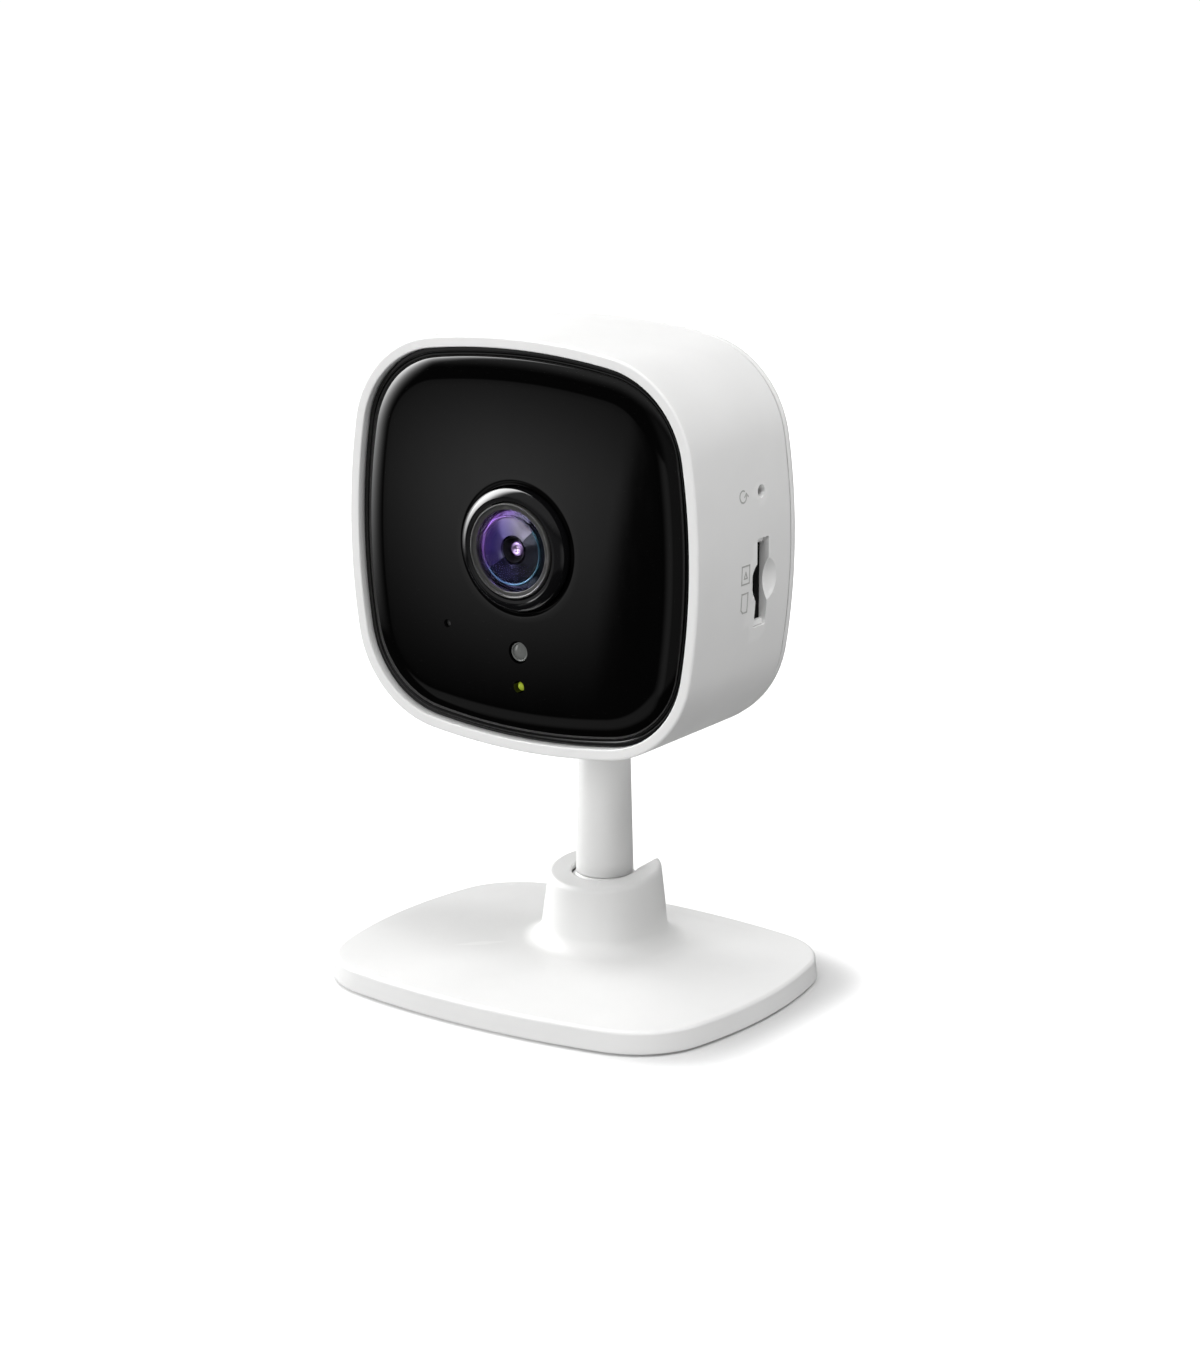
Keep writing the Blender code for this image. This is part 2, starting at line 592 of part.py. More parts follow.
def lens_pieces(body):
    """The lens from front to back, in its raised bezel."""
    centre = HEAD_CENTRE
    forward = (0, -1, 0)
    front = -BEZEL_FRONT_Y
    swell = arc_points(BEZEL_R - 2.1 * MM, front - 2.3 * MM, 2.1 * MM, 0, 72, 5)
    bezel = [(BARREL_R + GAP, 10.4 * MM), (BEZEL_R, 10.4 * MM), *swell,
             (8.1 * MM, front), (BARREL_R + GAP, front)]
    turned("lens_bezel", bezel, centre, forward, "black_gloss", body, 28)
    retainer = [(5.6 * MM, 15.2 * MM), (5.6 * MM, 15.85 * MM), (6.0 * MM, 16.05 * MM),
                (6.95 * MM, 16.3 * MM), (BARREL_R, 16.1 * MM), (BARREL_R, 14.2 * MM),
                (6.65 * MM, 14.2 * MM), (6.65 * MM, 15.2 * MM)]
    turned("lens_retainer", retainer, centre, forward, "black_plastic", body, 28)
    dome_r = 11.4 * MM
    rim = math.degrees(math.acos(5.3 * MM / dome_r))
    dome = arc_points(0, 16.7 * MM - dome_r, dome_r, rim, 90, 4)[:-1]
    glass = [(0, 13.4 * MM), (3.5 * MM, 13.7 * MM), (5.2 * MM, 14.2 * MM), (6.35 * MM, 14.2 * MM),
             (6.35 * MM, 14.9 * MM), (5.3 * MM, 14.9 * MM), *dome, (0, 16.7 * MM)]
    turned("lens_glass", glass, centre, forward, "coated_glass", body, 24)
    barrel = [(BARREL_R, 5.0 * MM), (BARREL_R, 13.1 * MM), (BARREL_R - 0.4 * MM, 13.1 * MM),
              (5.0 * MM, 13.1 * MM), (4.6 * MM, 11.2 * MM), (4.6 * MM, 5.0 * MM)]
    turned("lens_barrel", barrel, centre, forward, "black_plastic", body)
    iris = [(1.3 * MM, 10.6 * MM), (4.3 * MM, 10.6 * MM), (4.3 * MM, 11.0 * MM),
            (1.9 * MM, 11.0 * MM)]
    turned("lens_iris", iris, centre, forward, "black_plastic", body)
    rear = [(0, 7.0 * MM), (3.0 * MM, 7.3 * MM), (4.3 * MM, 7.9 * MM), (4.3 * MM, 8.8 * MM),
            (3.0 * MM, 9.4 * MM), (0, 9.9 * MM)]
    turned("lens_rear_element", rear, centre, forward, "coated_glass", body, 20)


def camera_module(body, filter_body):
    """Lens holder with its sliding infrared filter, the image sensor and their board."""
    high = HEAD_Z
    holder = block("lens_holder", (-10 * MM, -8.2 * MM, high - 9 * MM),
                   (10 * MM, 0, high + 9 * MM), "black_plastic", body, 0.4 * MM)
    cut(holder, cylinders("barrel_bore_tool", BARREL_R + GAP,
                          [((0, -10 * MM, high), (0, -4.7 * MM, high))], 24))
    cut(holder, cylinders("light_bore_tool", 3.1 * MM,
                          [((0, -5 * MM, high), (0, -2 * MM, high))], 16))
    cut(holder, cylinders("sensor_bore_tool", 5.6 * MM,
                          [((0, -1.9 * MM, high), (0, 1 * MM, high))], 16))
    cut(holder, block("filter_slot_tool", (-8.8 * MM, -4.0 * MM, high - 4.0 * MM),
                      (8.8 * MM, -2.4 * MM, high + 4.0 * MM), None, None))
    block("ir_cut_filter", (-8.4 * MM, -3.6 * MM, high - 3.6 * MM),
          (3.6 * MM, -2.8 * MM, high + 3.6 * MM), "coated_glass", filter_body)
    block("filter_coil", (10.4 * MM, -6.0 * MM, high - 3 * MM), (15 * MM, 0, high + 3 * MM),
          "copper", body, 0.4 * MM)
    block("image_sensor", (-3.6 * MM, -0.8 * MM, high - 3.6 * MM), (3.6 * MM, 0, high + 3.6 * MM),
          "silicon", body, 0.1 * MM)
    block("sensor_board", (-15 * MM, GAP, high - 15 * MM), (15 * MM, 1.3 * MM, high + 15 * MM),
          "circuit_board", body)


def front_lights(body):
    """Infrared emitters on their board, light window, status light guide and microphone."""
    board = block("emitter_board", (-20 * MM, -8.4 * MM, 45.5 * MM),
                  (20 * MM, -7.4 * MM, 82 * MM), "circuit_board", body)
    cut(board, cylinders("emitter_board_tool", 13.9 * MM,
                         [((0, -9 * MM, HEAD_Z), (0, -7 * MM, HEAD_Z))], 28))
    dome = arc_points(0, 2.4 * MM, 1.5 * MM, 0, 90, 3)[:-1]
    profile = [(0, 0), (1.5 * MM, 0), *dome, (0, 3.7 * MM)]
    for index, (x, z) in enumerate(emitter_places(), 1):
        turned(f"ir_emitter_{index}", profile, Vector((x, -8.7 * MM, z)), (0, -1, 0),
               "light_guide", body, 12)
    rod("light_window", WINDOW_R - GAP, (0, -8.7 * MM, WINDOW_Z), (0, -14.15 * MM, WINDOW_Z),
        "light_guide", body)
    rod("status_light_guide", 0.65 * MM, (0, -8.7 * MM, LED_Z), (0, -14.0 * MM, LED_Z),
        "green_light", body, 12)
    boot = [(0.65 * MM, 10.3 * MM), (1.6 * MM, 10.3 * MM), (1.6 * MM, 12.2 * MM),
            (0.65 * MM, 12.2 * MM)]
    turned("microphone_boot", boot, Vector((MIC_X, 0, MIC_Z)), (0, -1, 0), "rubber", body, 12)
    rod("microphone", 1.6 * MM, (MIC_X, -8.7 * MM, MIC_Z), (MIC_X, -10.0 * MM, MIC_Z),
        "steel", body, 12)


def main_board(body):
    """The main circuit board, cut away round the stem's end, and what is soldered to it."""
    board = loft("main_board", [head_ring(3.3 * MM, BOARD_FRONT_Y),
                                head_ring(3.3 * MM, BOARD_BACK_Y)], "circuit_board", body)
    cut(board, block("board_tool", (-10 * MM, 2 * MM, 30 * MM), (10 * MM, 8 * MM, 47.5 * MM),
                     None, None))
    front = BOARD_FRONT_Y - GAP
    block("heat_spreader", (-19 * MM, 1.7 * MM, 56 * MM), (-5 * MM, front, 70 * MM),
          "steel", body, 0.3 * MM)
    block("radio_shield", (-19 * MM, 1.7 * MM, 76 * MM), (-3 * MM, front, 88 * MM),
          "steel", body, 0.3 * MM)
    block("antenna", (-11 * MM, -4 * MM, 94.6 * MM), (11 * MM, 3 * MM, 95.3 * MM), "copper", body)
    holes = [(x, z) for x in (-21 * MM, 21 * MM) for z in (52 * MM, 86 * MM)]
    cut(board, cylinders("board_hole_tool", 1.15 * MM,
                         [((x, 3 * MM, z), (x, 7 * MM, z)) for x, z in holes]))
    for index, (x, z) in enumerate(holes, 1):
        screw(f"board_screw_{index}", (x, 6.9 * MM, z), (0, -1, 0), 1.8 * MM, 1.2 * MM,
              0.8 * MM, 4.2 * MM, body)


def speaker_and_jack(body):
    """Speaker with its foam gasket, and the power jack, behind the main board."""
    back = BOARD_BACK_Y + GAP
    speaker = [(0, back), (5 * MM, back), (5 * MM, 8.0 * MM), (9.5 * MM, 8.0 * MM),
               (9.5 * MM, 10.6 * MM), (8.6 * MM, 10.6 * MM), (7.6 * MM, 10.0 * MM),
               (3.4 * MM, 9.0 * MM), (2.4 * MM, 9.6 * MM), (0, 9.9 * MM)]
    turned("speaker", speaker, Vector((0, 0, SPEAKER_Z)), (0, 1, 0), "black_plastic", body)
    gasket = [(7.4 * MM, 10.9 * MM), (9.5 * MM, 10.9 * MM), (9.5 * MM, 11.5 * MM),
              (7.4 * MM, 11.5 * MM)]
    turned("speaker_gasket", gasket, Vector((0, 0, SPEAKER_Z)), (0, 1, 0), "foam", body, 20)
    jack = [(0, back), (3.3 * MM, back), (3.3 * MM, 12.9 * MM), (2.05 * MM, 12.9 * MM),
            (2.05 * MM, 7.0 * MM), (0.55 * MM, 7.0 * MM), (0.55 * MM, 11.6 * MM),
            (0, 11.9 * MM)]
    turned("power_jack", jack, Vector((0, 0, JACK_Z)), (0, 1, 0), "black_plastic", body, 20)


def side_controls(body, ejector_body, button_body):
    """Card socket with its sprung ejector, the slot's inner frame, and the reset switch."""
    half = 7 * MM
    front = BOARD_FRONT_Y - GAP
    socket = block("card_socket", (13 * MM, 1.65 * MM, SLOT_Z - half),
                   (27.9 * MM, front, SLOT_Z + half), "steel", body, 0.15 * MM)
    cut(socket, block("card_tool", (14.1 * MM, 2.2 * MM, SLOT_Z - 5.8 * MM),
                      (30 * MM, 3.4 * MM, SLOT_Z + 5.8 * MM), None, None))
    block("card_ejector", (19.5 * MM, 2.5 * MM, SLOT_Z - 5.4 * MM),
          (21.5 * MM, 3.1 * MM, SLOT_Z + 5.4 * MM), "acetal", ejector_body)
    outer_l = SLOT_LENGTH / 2 - GAP
    outer_w = SLOT_WIDTH / 2 - GAP
    guide = block("card_guide", (28.2 * MM, PORT_Y - outer_w, SLOT_Z - outer_l),
                  (29.3 * MM, PORT_Y + outer_w, SLOT_Z + outer_l), "white_plastic", body)
    cut(guide, rounded_slot_tool(5.75 * MM, 0.8 * MM))
    block("reset_switch", (23.2 * MM, 1.4 * MM, RESET_Z - 2.2 * MM),
          (27.0 * MM, front, RESET_Z + 2.2 * MM), "steel", body, 0.2 * MM)
    rod("reset_plunger", 0.6 * MM, (27.3 * MM, PORT_Y, RESET_Z), (28.3 * MM, PORT_Y, RESET_Z),
        "black_plastic", button_body, 12)


def rounded_slot_tool(half_length, half_width):
    """Slot-shaped cutter across the card guide, with rounded corners."""
    corner = 0.55 * MM
    tool = block("guide_tool", (27 * MM, PORT_Y - half_width, SLOT_Z - half_length),
                 (31 * MM, PORT_Y + half_width, SLOT_Z + half_length), None, None)
    bm = bmesh.new()
    bm.from_mesh(tool.data)
    along = [edge for edge in bm.edges if abs(edge.verts[0].co.x - edge.verts[1].co.x) > MM]
    bmesh.ops.bevel(bm, geom=along, offset=corner, segments=3, affect="EDGES", profile=0.5)
    bm.to_mesh(tool.data)
    bm.free()
    return tool


def rear_cover(body):
    """Domed back of the head, with its spigot, speaker grille and power opening."""
    rings = [
        head_ring(1.9 * MM, HEAD_REAR_Y + GAP),
        head_ring(0.3 * MM, HEAD_REAR_Y + GAP),
        head_ring(0.3 * MM, HEAD_REAR_Y + 0.8 * MM),
        head_ring(0.6 * MM, HEAD_REAR_Y + 1.6 * MM),
        head_ring(1.3 * MM, HEAD_REAR_Y + 2.25 * MM),
        head_ring(2.4 * MM, HEAD_REAR_Y + 2.6 * MM),
        head_ring(8.0 * MM, COVER_BACK_Y - 0.1 * MM, 0.3, 6 * MM),
        head_ring(0, COVER_BACK_Y, 1.0, 4 * MM),
    ]
    inner = [
        head_ring(0, COVER_BACK_Y - 1.4 * MM, 1.0, 3.8 * MM),
        head_ring(3.3 * MM, HEAD_REAR_Y + 1.3 * MM),
        head_ring(2.9 * MM, HEAD_REAR_Y + 0.8 * MM),
        head_ring(2.9 * MM, HEAD_REAR_Y - 1.3 * MM),
        head_ring(1.9 * MM, HEAD_REAR_Y - 1.3 * MM),
    ]
    made = capped_shell("rear_cover", rings, inner, "white_plastic", body)
    cut(made, cylinders("grille_tool", 0.6 * MM, grille_places(), 8))
    cut(made, cylinders("jack_tool", 3.6 * MM,
                        [((0, 9 * MM, JACK_Z), (0, 16 * MM, JACK_Z))], 20))
    cut(made, cylinders("cover_neck_tool", STEM_NECK_R + GAP,
                        [((0, PIVOT_Y, 34 * MM), (0, PIVOT_Y, 44 * MM))], 24))
    cut(made, block("spigot_tool", (-9.2 * MM, 8.6 * MM, 39.9 * MM),
                    (9.2 * MM, HEAD_REAR_Y + 0.1 * MM, 46.0 * MM), None, None))
    return made


def capped_shell(name, outer, inner, finish_name, body):
    """Skin an outer and an inner run of rings into one bowl: both are closed by a flat cap."""
    bm = bmesh.new()
    outer_loops = [[bm.verts.new(point) for point in ring] for ring in outer]
    inner_loops = [[bm.verts.new(point) for point in ring] for ring in inner]
    count = len(outer[0])
    pairs = list(zip(outer_loops, outer_loops[1:])) + list(zip(inner_loops, inner_loops[1:]))
    pairs.append((inner_loops[-1], outer_loops[0]))
    for low, high in pairs:
        for i in range(count):
            j = (i + 1) % count
            bm.faces.new((low[i], low[j], high[j], high[i]))
    bm.faces.new(outer_loops[-1])
    bm.faces.new(inner_loops[0])
    return finish(name, bm, finish_name, body)


def grille_places():
    """Two rings of holes round a middle one, behind the speaker."""
    places = [(0.0, 0.0)]
    for ring in (1, 2):
        for step in range(6 * ring):
            angle = math.tau * step / (6 * ring)
            places.append((2.3 * MM * ring * math.cos(angle), 2.3 * MM * ring * math.sin(angle)))
    return [((x, 11 * MM, SPEAKER_Z + z), (x, 15 * MM, SPEAKER_Z + z)) for x, z in places]


def build():
    for old in list(bpy.data.objects):
        bpy.data.objects.remove(old, do_unlink=True)
    base = empty("base_frame", (0, 0, 0))
    ball = empty("ball_frame", PIVOT, base)
    head = empty("head_frame", (0, PIVOT_Y, STEM_BASE_Z), ball)
    reset = empty("reset_frame", (27.3 * MM, PORT_Y, RESET_Z), head)
    ejector = empty("ejector_frame", (20.5 * MM, PORT_Y, SLOT_Z), head)
    ir_filter = empty("filter_frame", (0, -3.2 * MM, HEAD_Z), head)
    base_top(base)
    base_inside(base)
    ball_pieces(ball)
    stem(head)
    shell(head)
    front_glass(head)
    front_frame(head)
    lens_pieces(head)
    camera_module(head, ir_filter)
    front_lights(head)
    main_board(head)
    speaker_and_jack(head)
    side_controls(head, ejector, reset)
    rear_cover(head)


build()
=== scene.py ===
import json
import math

import bmesh
import bpy
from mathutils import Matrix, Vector


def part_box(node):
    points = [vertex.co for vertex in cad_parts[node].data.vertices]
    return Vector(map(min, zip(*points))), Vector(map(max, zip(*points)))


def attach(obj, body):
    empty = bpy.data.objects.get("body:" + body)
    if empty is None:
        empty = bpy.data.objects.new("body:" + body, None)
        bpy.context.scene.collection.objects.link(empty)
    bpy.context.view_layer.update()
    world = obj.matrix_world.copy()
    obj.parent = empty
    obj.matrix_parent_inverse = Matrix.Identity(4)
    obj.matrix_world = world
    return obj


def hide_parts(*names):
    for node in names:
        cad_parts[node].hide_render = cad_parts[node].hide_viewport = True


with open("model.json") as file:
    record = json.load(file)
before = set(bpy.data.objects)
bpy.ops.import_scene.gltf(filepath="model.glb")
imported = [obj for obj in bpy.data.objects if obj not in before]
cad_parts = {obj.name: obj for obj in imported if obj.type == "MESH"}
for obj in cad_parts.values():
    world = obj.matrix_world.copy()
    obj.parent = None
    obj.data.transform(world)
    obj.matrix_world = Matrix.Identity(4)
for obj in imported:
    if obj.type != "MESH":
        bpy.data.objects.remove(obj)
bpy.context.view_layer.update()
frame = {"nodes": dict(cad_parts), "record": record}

MM = 0.001
# Where things are: the lens axis, the ball's centre, the controls on the side, and the holes in
# the front and the rear.
HEAD_Z = 68.2 * MM
PIVOT_Y = 7.85 * MM
PIVOT_Z = 9.0 * MM
PORT_Y = 2.95 * MM
RESET_Z = 77.1 * MM
SLOT_Z = 64.0 * MM
WINDOW_Z = 53.0 * MM
LIGHT_Z = 47.85 * MM
MIC_X = -12.6 * MM
MIC_Z = 55.5 * MM
GRILLE_Z = 76.0 * MM
JACK_Z = 52.0 * MM
# Outlines seen from the front and from above: half sizes, and the radii of bowed sides and corners.
HEAD_HALF_W, HEAD_HALF_H = 30.3 * MM, 30.0 * MM
HEAD_SIDE_R, HEAD_TOP_R, HEAD_CORNER_R = 97 * MM, 105 * MM, 15.9 * MM
BASE_HALF_W, BASE_HALF_D = 33.8 * MM, 27.4 * MM
BASE_SIDE_R, BASE_FRONT_R, BASE_CORNER_R = 70 * MM, 116 * MM, 12.7 * MM
LENS_HOLE_R = 9.15 * MM
BALL_R = 6.9 * MM
NECK_R = 3.2 * MM
FORWARD = (0, -1, 0)
UPWARD = (0, 0, 1)


# ---- Camera --------------------------------------------------------------------------------

CAMERA_AZIMUTH = 34.235
CAMERA_ELEVATION = 15.064
CAMERA_DISTANCE = 526.35 * MM
CAMERA_LENS = 94.45
# The point the camera looks at, and how far right of it and below it the view is centred.
CAMERA_TARGET_Z = 50 * MM
CAMERA_RIGHT = 3.698 * MM
CAMERA_DOWN = 4.942 * MM


def towards(azimuth, elevation):
    """Direction from the object; azimuth 0 is in front of the lens, 90 on the right."""
    a = math.radians(azimuth)
    e = math.radians(elevation)
    return Vector((math.sin(a) * math.cos(e), -math.cos(a) * math.cos(e), math.sin(e)))


def make_camera():
    """Camera at the photograph's angle: 34 degrees to the right of the front, 15 above."""
    azimuth = math.radians(CAMERA_AZIMUTH)
    back = towards(CAMERA_AZIMUTH, CAMERA_ELEVATION)
    right = Vector((math.cos(azimuth), math.sin(azimuth), 0.0))
    up = back.cross(right)
    target = Vector((0, 0, CAMERA_TARGET_Z)) + right * CAMERA_RIGHT - up * CAMERA_DOWN
    data = bpy.data.cameras.new("photo_camera")
    camera = bpy.data.objects.new("photo_camera", data)
    bpy.context.scene.collection.objects.link(camera)
    data.sensor_width = 36.0
    data.lens = CAMERA_LENS
    data.clip_start = 0.01
    data.clip_end = 20.0
    camera.location = target + back * CAMERA_DISTANCE
    camera.rotation_mode = "QUATERNION"
    camera.rotation_quaternion = (-back).to_track_quat("-Z", "Y")
    bpy.context.scene.camera = camera


make_camera()


# ---- Materials -----------------------------------------------------------------------------

def add(tree, kind, inputs=None, **settings):
    """Add a node; inputs maps a socket's name or index to a value or to another node's output."""
    made = tree.nodes.new(kind)
    for key, value in settings.items():
        setattr(made, key, value)
    for key, value in (inputs or {}).items():
        if isinstance(value, bpy.types.NodeSocket):
            tree.links.new(value, made.inputs[key])
        else:
            made.inputs[key].default_value = value
    return made


def start(name, roughness, metallic=0.0, **sockets):
    """A Principled material with its constant sockets set."""
    made = bpy.data.materials.new(name)
    made.use_nodes = True
    shader = made.node_tree.nodes["Principled BSDF"]
    shader.inputs["Roughness"].default_value = roughness
    shader.inputs["Metallic"].default_value = metallic
    for key, value in sockets.items():
        shader.inputs[key.replace("_", " ")].default_value = value
    return made, made.node_tree, shader


def place(tree, stretch=(1, 1, 1)):
    """Object coordinates in metres, stretched."""
    coords = add(tree, "ShaderNodeTexCoord")
    return add(tree, "ShaderNodeMapping",
               {"Vector": coords.outputs["Object"], "Scale": stretch}).outputs[0]


def calc(tree, operation, *values):
    """One math node on numbers or other nodes' outputs."""
    return add(tree, "ShaderNodeMath", dict(enumerate(values)), operation=operation).outputs[0]


def vector_calc(tree, operation, *values):
    return add(tree, "ShaderNodeVectorMath", dict(enumerate(values)), operation=operation)


def noise(tree, where, scale, detail=2.0, rough=0.5):
    return add(tree, "ShaderNodeTexNoise",
               {"Vector": where, "Scale": scale, "Detail": detail,
                "Roughness": rough}).outputs["Fac"]


def remap(tree, value, low, high, out_low, out_high, easing="LINEAR"):
    return add(tree, "ShaderNodeMapRange",
               {"Value": value, "From Min": low, "From Max": high, "To Min": out_low,
                "To Max": out_high}, interpolation_type=easing).outputs[0]


def mix_colour(tree, factor, first, second):
    made = add(tree, "ShaderNodeMix", data_type="RGBA")
    for key, value in ((0, factor), (6, first), (7, second)):
        if isinstance(value, bpy.types.NodeSocket):
            tree.links.new(value, made.inputs[key])
        else:
            made.inputs[key].default_value = value if key == 0 else (*value[:3], 1.0)
    return made.outputs[2]


def shade(colour, factor):
    return tuple(min(1.0, c * factor) for c in colour)


def edges(tree):
    """0 on flats and 1 on worn outer edges."""
    point = add(tree, "ShaderNodeNewGeometry").outputs["Pointiness"]
    return remap(tree, point, 0.505, 0.56, 0.0, 1.0)


def bump(tree, shader, heights, distance):
    made = add(tree, "ShaderNodeBump", {"Height": heights, "Distance": distance,
                                        "Strength": 1.0})
    tree.links.new(made.outputs[0], shader.inputs["Normal"])


def moulded(name, colour, roughness, depth=0.0035 * MM, mottle=0.02, worn=1.04, **sockets):
    """Moulded plastic: fine spark-eroded grain, faint flow mottling and polished edges."""
    made, tree, shader = start(name, roughness, **sockets)
    where = place(tree)
    cloud = noise(tree, where, 55.0, 3.0)
    tint = mix_colour(tree, remap(tree, cloud, 0.35, 0.65, 0.0, 1.0),
                      shade(colour, 1 - mottle), shade(colour, 1 + mottle))
    tint = mix_colour(tree, edges(tree), tint, shade(colour, worn))
    tree.links.new(tint, shader.inputs["Base Color"])
    broad = noise(tree, where, 160.0, 4.0, 0.6)
    rough = remap(tree, broad, 0.3, 0.7, roughness - 0.05, roughness + 0.05)
    tree.links.new(rough, shader.inputs["Roughness"])
    bump(tree, shader, noise(tree, where, 5200.0), depth)
    return made


def glossy_black(name, colour, roughness):
    """Polished black: a faint orange peel, dust specks and wiping marks in the roughness."""
    made, tree, shader = start(name, roughness)
    where = place(tree)
    smear = noise(tree, place(tree, (1, 1, 0.25)), 220.0, 5.0, 0.7)
    rough = remap(tree, smear, 0.35, 0.75, roughness * 0.7, roughness * 1.5)
    tree.links.new(rough, shader.inputs["Roughness"])
    dust = noise(tree, where, 2600.0, 1.0)
    fleck = remap(tree, dust, 0.74, 0.8, 0.0, 1.0)
    tree.links.new(mix_colour(tree, fleck, colour, shade(colour, 2.5)),
                   shader.inputs["Base Color"])
    bump(tree, shader, noise(tree, where, 130.0, 1.0), 0.0006 * MM)
    return made


def brushed(name, colour, roughness):
    """Rolled or drawn metal: fine streaks one way, cloudy tarnish, bright edges."""
    made, tree, shader = start(name, roughness, 1.0)
    streak = noise(tree, place(tree, (1, 1, 12)), 900.0, 4.0, 0.65)
    cloud = noise(tree, place(tree), 120.0, 3.0)
    tint = mix_colour(tree, remap(tree, cloud, 0.3, 0.7, 0.0, 1.0), shade(colour, 0.82),
                      shade(colour, 1.08))
    tree.links.new(mix_colour(tree, edges(tree), tint, shade(colour, 1.35)),
                   shader.inputs["Base Color"])
    tree.links.new(remap(tree, streak, 0.3, 0.7, roughness * 0.7, roughness * 1.4),
                   shader.inputs["Roughness"])
    bump(tree, shader, streak, 0.004 * MM)
    return made


def cellular(name, colour, roughness, scale, depth):
    """Rubber or foam: small cells pitted into a matt surface, each pit darkened with painted shade.
    """
    made, tree, shader = start(name, roughness)
    where = place(tree)
    cells = add(tree, "ShaderNodeTexVoronoi", {"Vector": where, "Scale": scale})
    pits = cells.outputs["Distance"]
    # Darker at each cell's middle, where the bump sinks the pit: painted shade.
    tint = mix_colour(tree, remap(tree, pits, 0.0, 0.6, 0.0, 1.0), shade(colour, 0.5),
                      shade(colour, 1.5))
    tree.links.new(tint, shader.inputs["Base Color"])
    tree.links.new(remap(tree, noise(tree, where, 300.0), 0.3, 0.7, roughness - 0.1,
                         min(1.0, roughness + 0.08)), shader.inputs["Roughness"])
    bump(tree, shader, pits, depth)
    return made


def circuit_board():
    """Green solder mask over copper tracks, with a scatter of tinned pads."""
    made, tree, shader = start("circuit_board_mask", 0.4)
    where = place(tree)
    tracks = add(tree, "ShaderNodeTexBrick",
                 {"Vector": where, "Scale": 320.0, "Mortar Size": 0.06, "Brick Width": 1.4,
                  "Row Height": 0.35}).outputs["Fac"]
    tint = mix_colour(tree, tracks, (0.012, 0.11, 0.045), (0.03, 0.22, 0.085))
    spots = add(tree, "ShaderNodeTexVoronoi", {"Vector": where, "Scale": 420.0}).outputs[0]
    pad = remap(tree, spots, 0.16, 0.12, 0.0, 1.0)
    tree.links.new(mix_colour(tree, pad, tint, (0.62, 0.6, 0.5)), shader.inputs["Base Color"])
    tree.links.new(pad, shader.inputs["Metallic"])
    bump(tree, shader, tracks, 0.02 * MM)
    return made


def coil_wire():
    """Enamelled copper wire wound in close turns, with painted shade in the grooves between them.
    """
    made, tree, shader = start("coil_wire", 0.28, 1.0)
    turns = add(tree, "ShaderNodeTexWave", {"Vector": place(tree), "Scale": 1700.0,
                                            "Distortion": 0.4}, bands_direction="X")
    height = turns.outputs["Fac"]
    # Dark where the bump sinks between turns: painted shade.
    tree.links.new(mix_colour(tree, height, (0.3, 0.1, 0.04), (0.86, 0.42, 0.22)),
                   shader.inputs["Base Color"])
    bump(tree, shader, height, 0.05 * MM)
    return made


def wafer():
    """Image sensor: a fine pixel grid under clear glass, with a gold-tinted border."""
    made, tree, shader = start("sensor_wafer", 0.16, 0.6, Coat_Weight=0.6)
    grid = add(tree, "ShaderNodeTexChecker", {"Vector": place(tree), "Scale": 9000.0})
    haze = noise(tree, place(tree), 240.0)
    tint = mix_colour(tree, grid.outputs["Fac"], (0.05, 0.08, 0.14), (0.1, 0.07, 0.16))
    tree.links.new(mix_colour(tree, haze, tint, (0.16, 0.2, 0.13)), shader.inputs["Base Color"])
    return made


def clear_glass(name, colour, coat):
    """Polished optical glass with a faint haze of dust in its roughness."""
    made, tree, shader = start(name, 0.02, Transmission_Weight=1.0, IOR=1.1)
    haze = noise(tree, place(tree), 900.0, 3.0)
    tree.links.new(remap(tree, haze, 0.3, 0.8, 0.0, 0.05), shader.inputs["Roughness"])
    tint = mix_colour(tree, noise(tree, place(tree), 260.0), colour, shade(colour, 0.94))
    tree.links.new(tint, shader.inputs["Base Color"])
    shader.inputs["Specular Tint"].default_value = (*coat, 1.0)
    return made


def polar(tree):
    """Distance from the lens axis in metres, and angle round it in turns from -0.5 to 0.5."""
    coords = add(tree, "ShaderNodeTexCoord")
    x, _, z = add(tree, "ShaderNodeSeparateXYZ", {0: coords.outputs["Object"]}).outputs
    z = calc(tree, "SUBTRACT", z, HEAD_Z)
    turn = calc(tree, "DIVIDE", calc(tree, "ARCTAN2", z, x), math.tau)
    squares = calc(tree, "ADD", calc(tree, "POWER", x, 2.0), calc(tree, "POWER", z, 2.0))
    return calc(tree, "SQRT", squares), turn


def ramp(tree, value, stops):
    """A colour ramp; the first two stops are the ones that a new ramp already has."""
    made = add(tree, "ShaderNodeValToRGB", {0: value})
    bar = made.color_ramp
    bar.interpolation = "LINEAR"
    for index, (position, colour) in enumerate(stops):
        if index < 2:
            stop = bar.elements[index]
            stop.position = position
        else:
            stop = bar.elements.new(position)
        stop.color = (*colour, 1.0)
    return made.outputs[0]


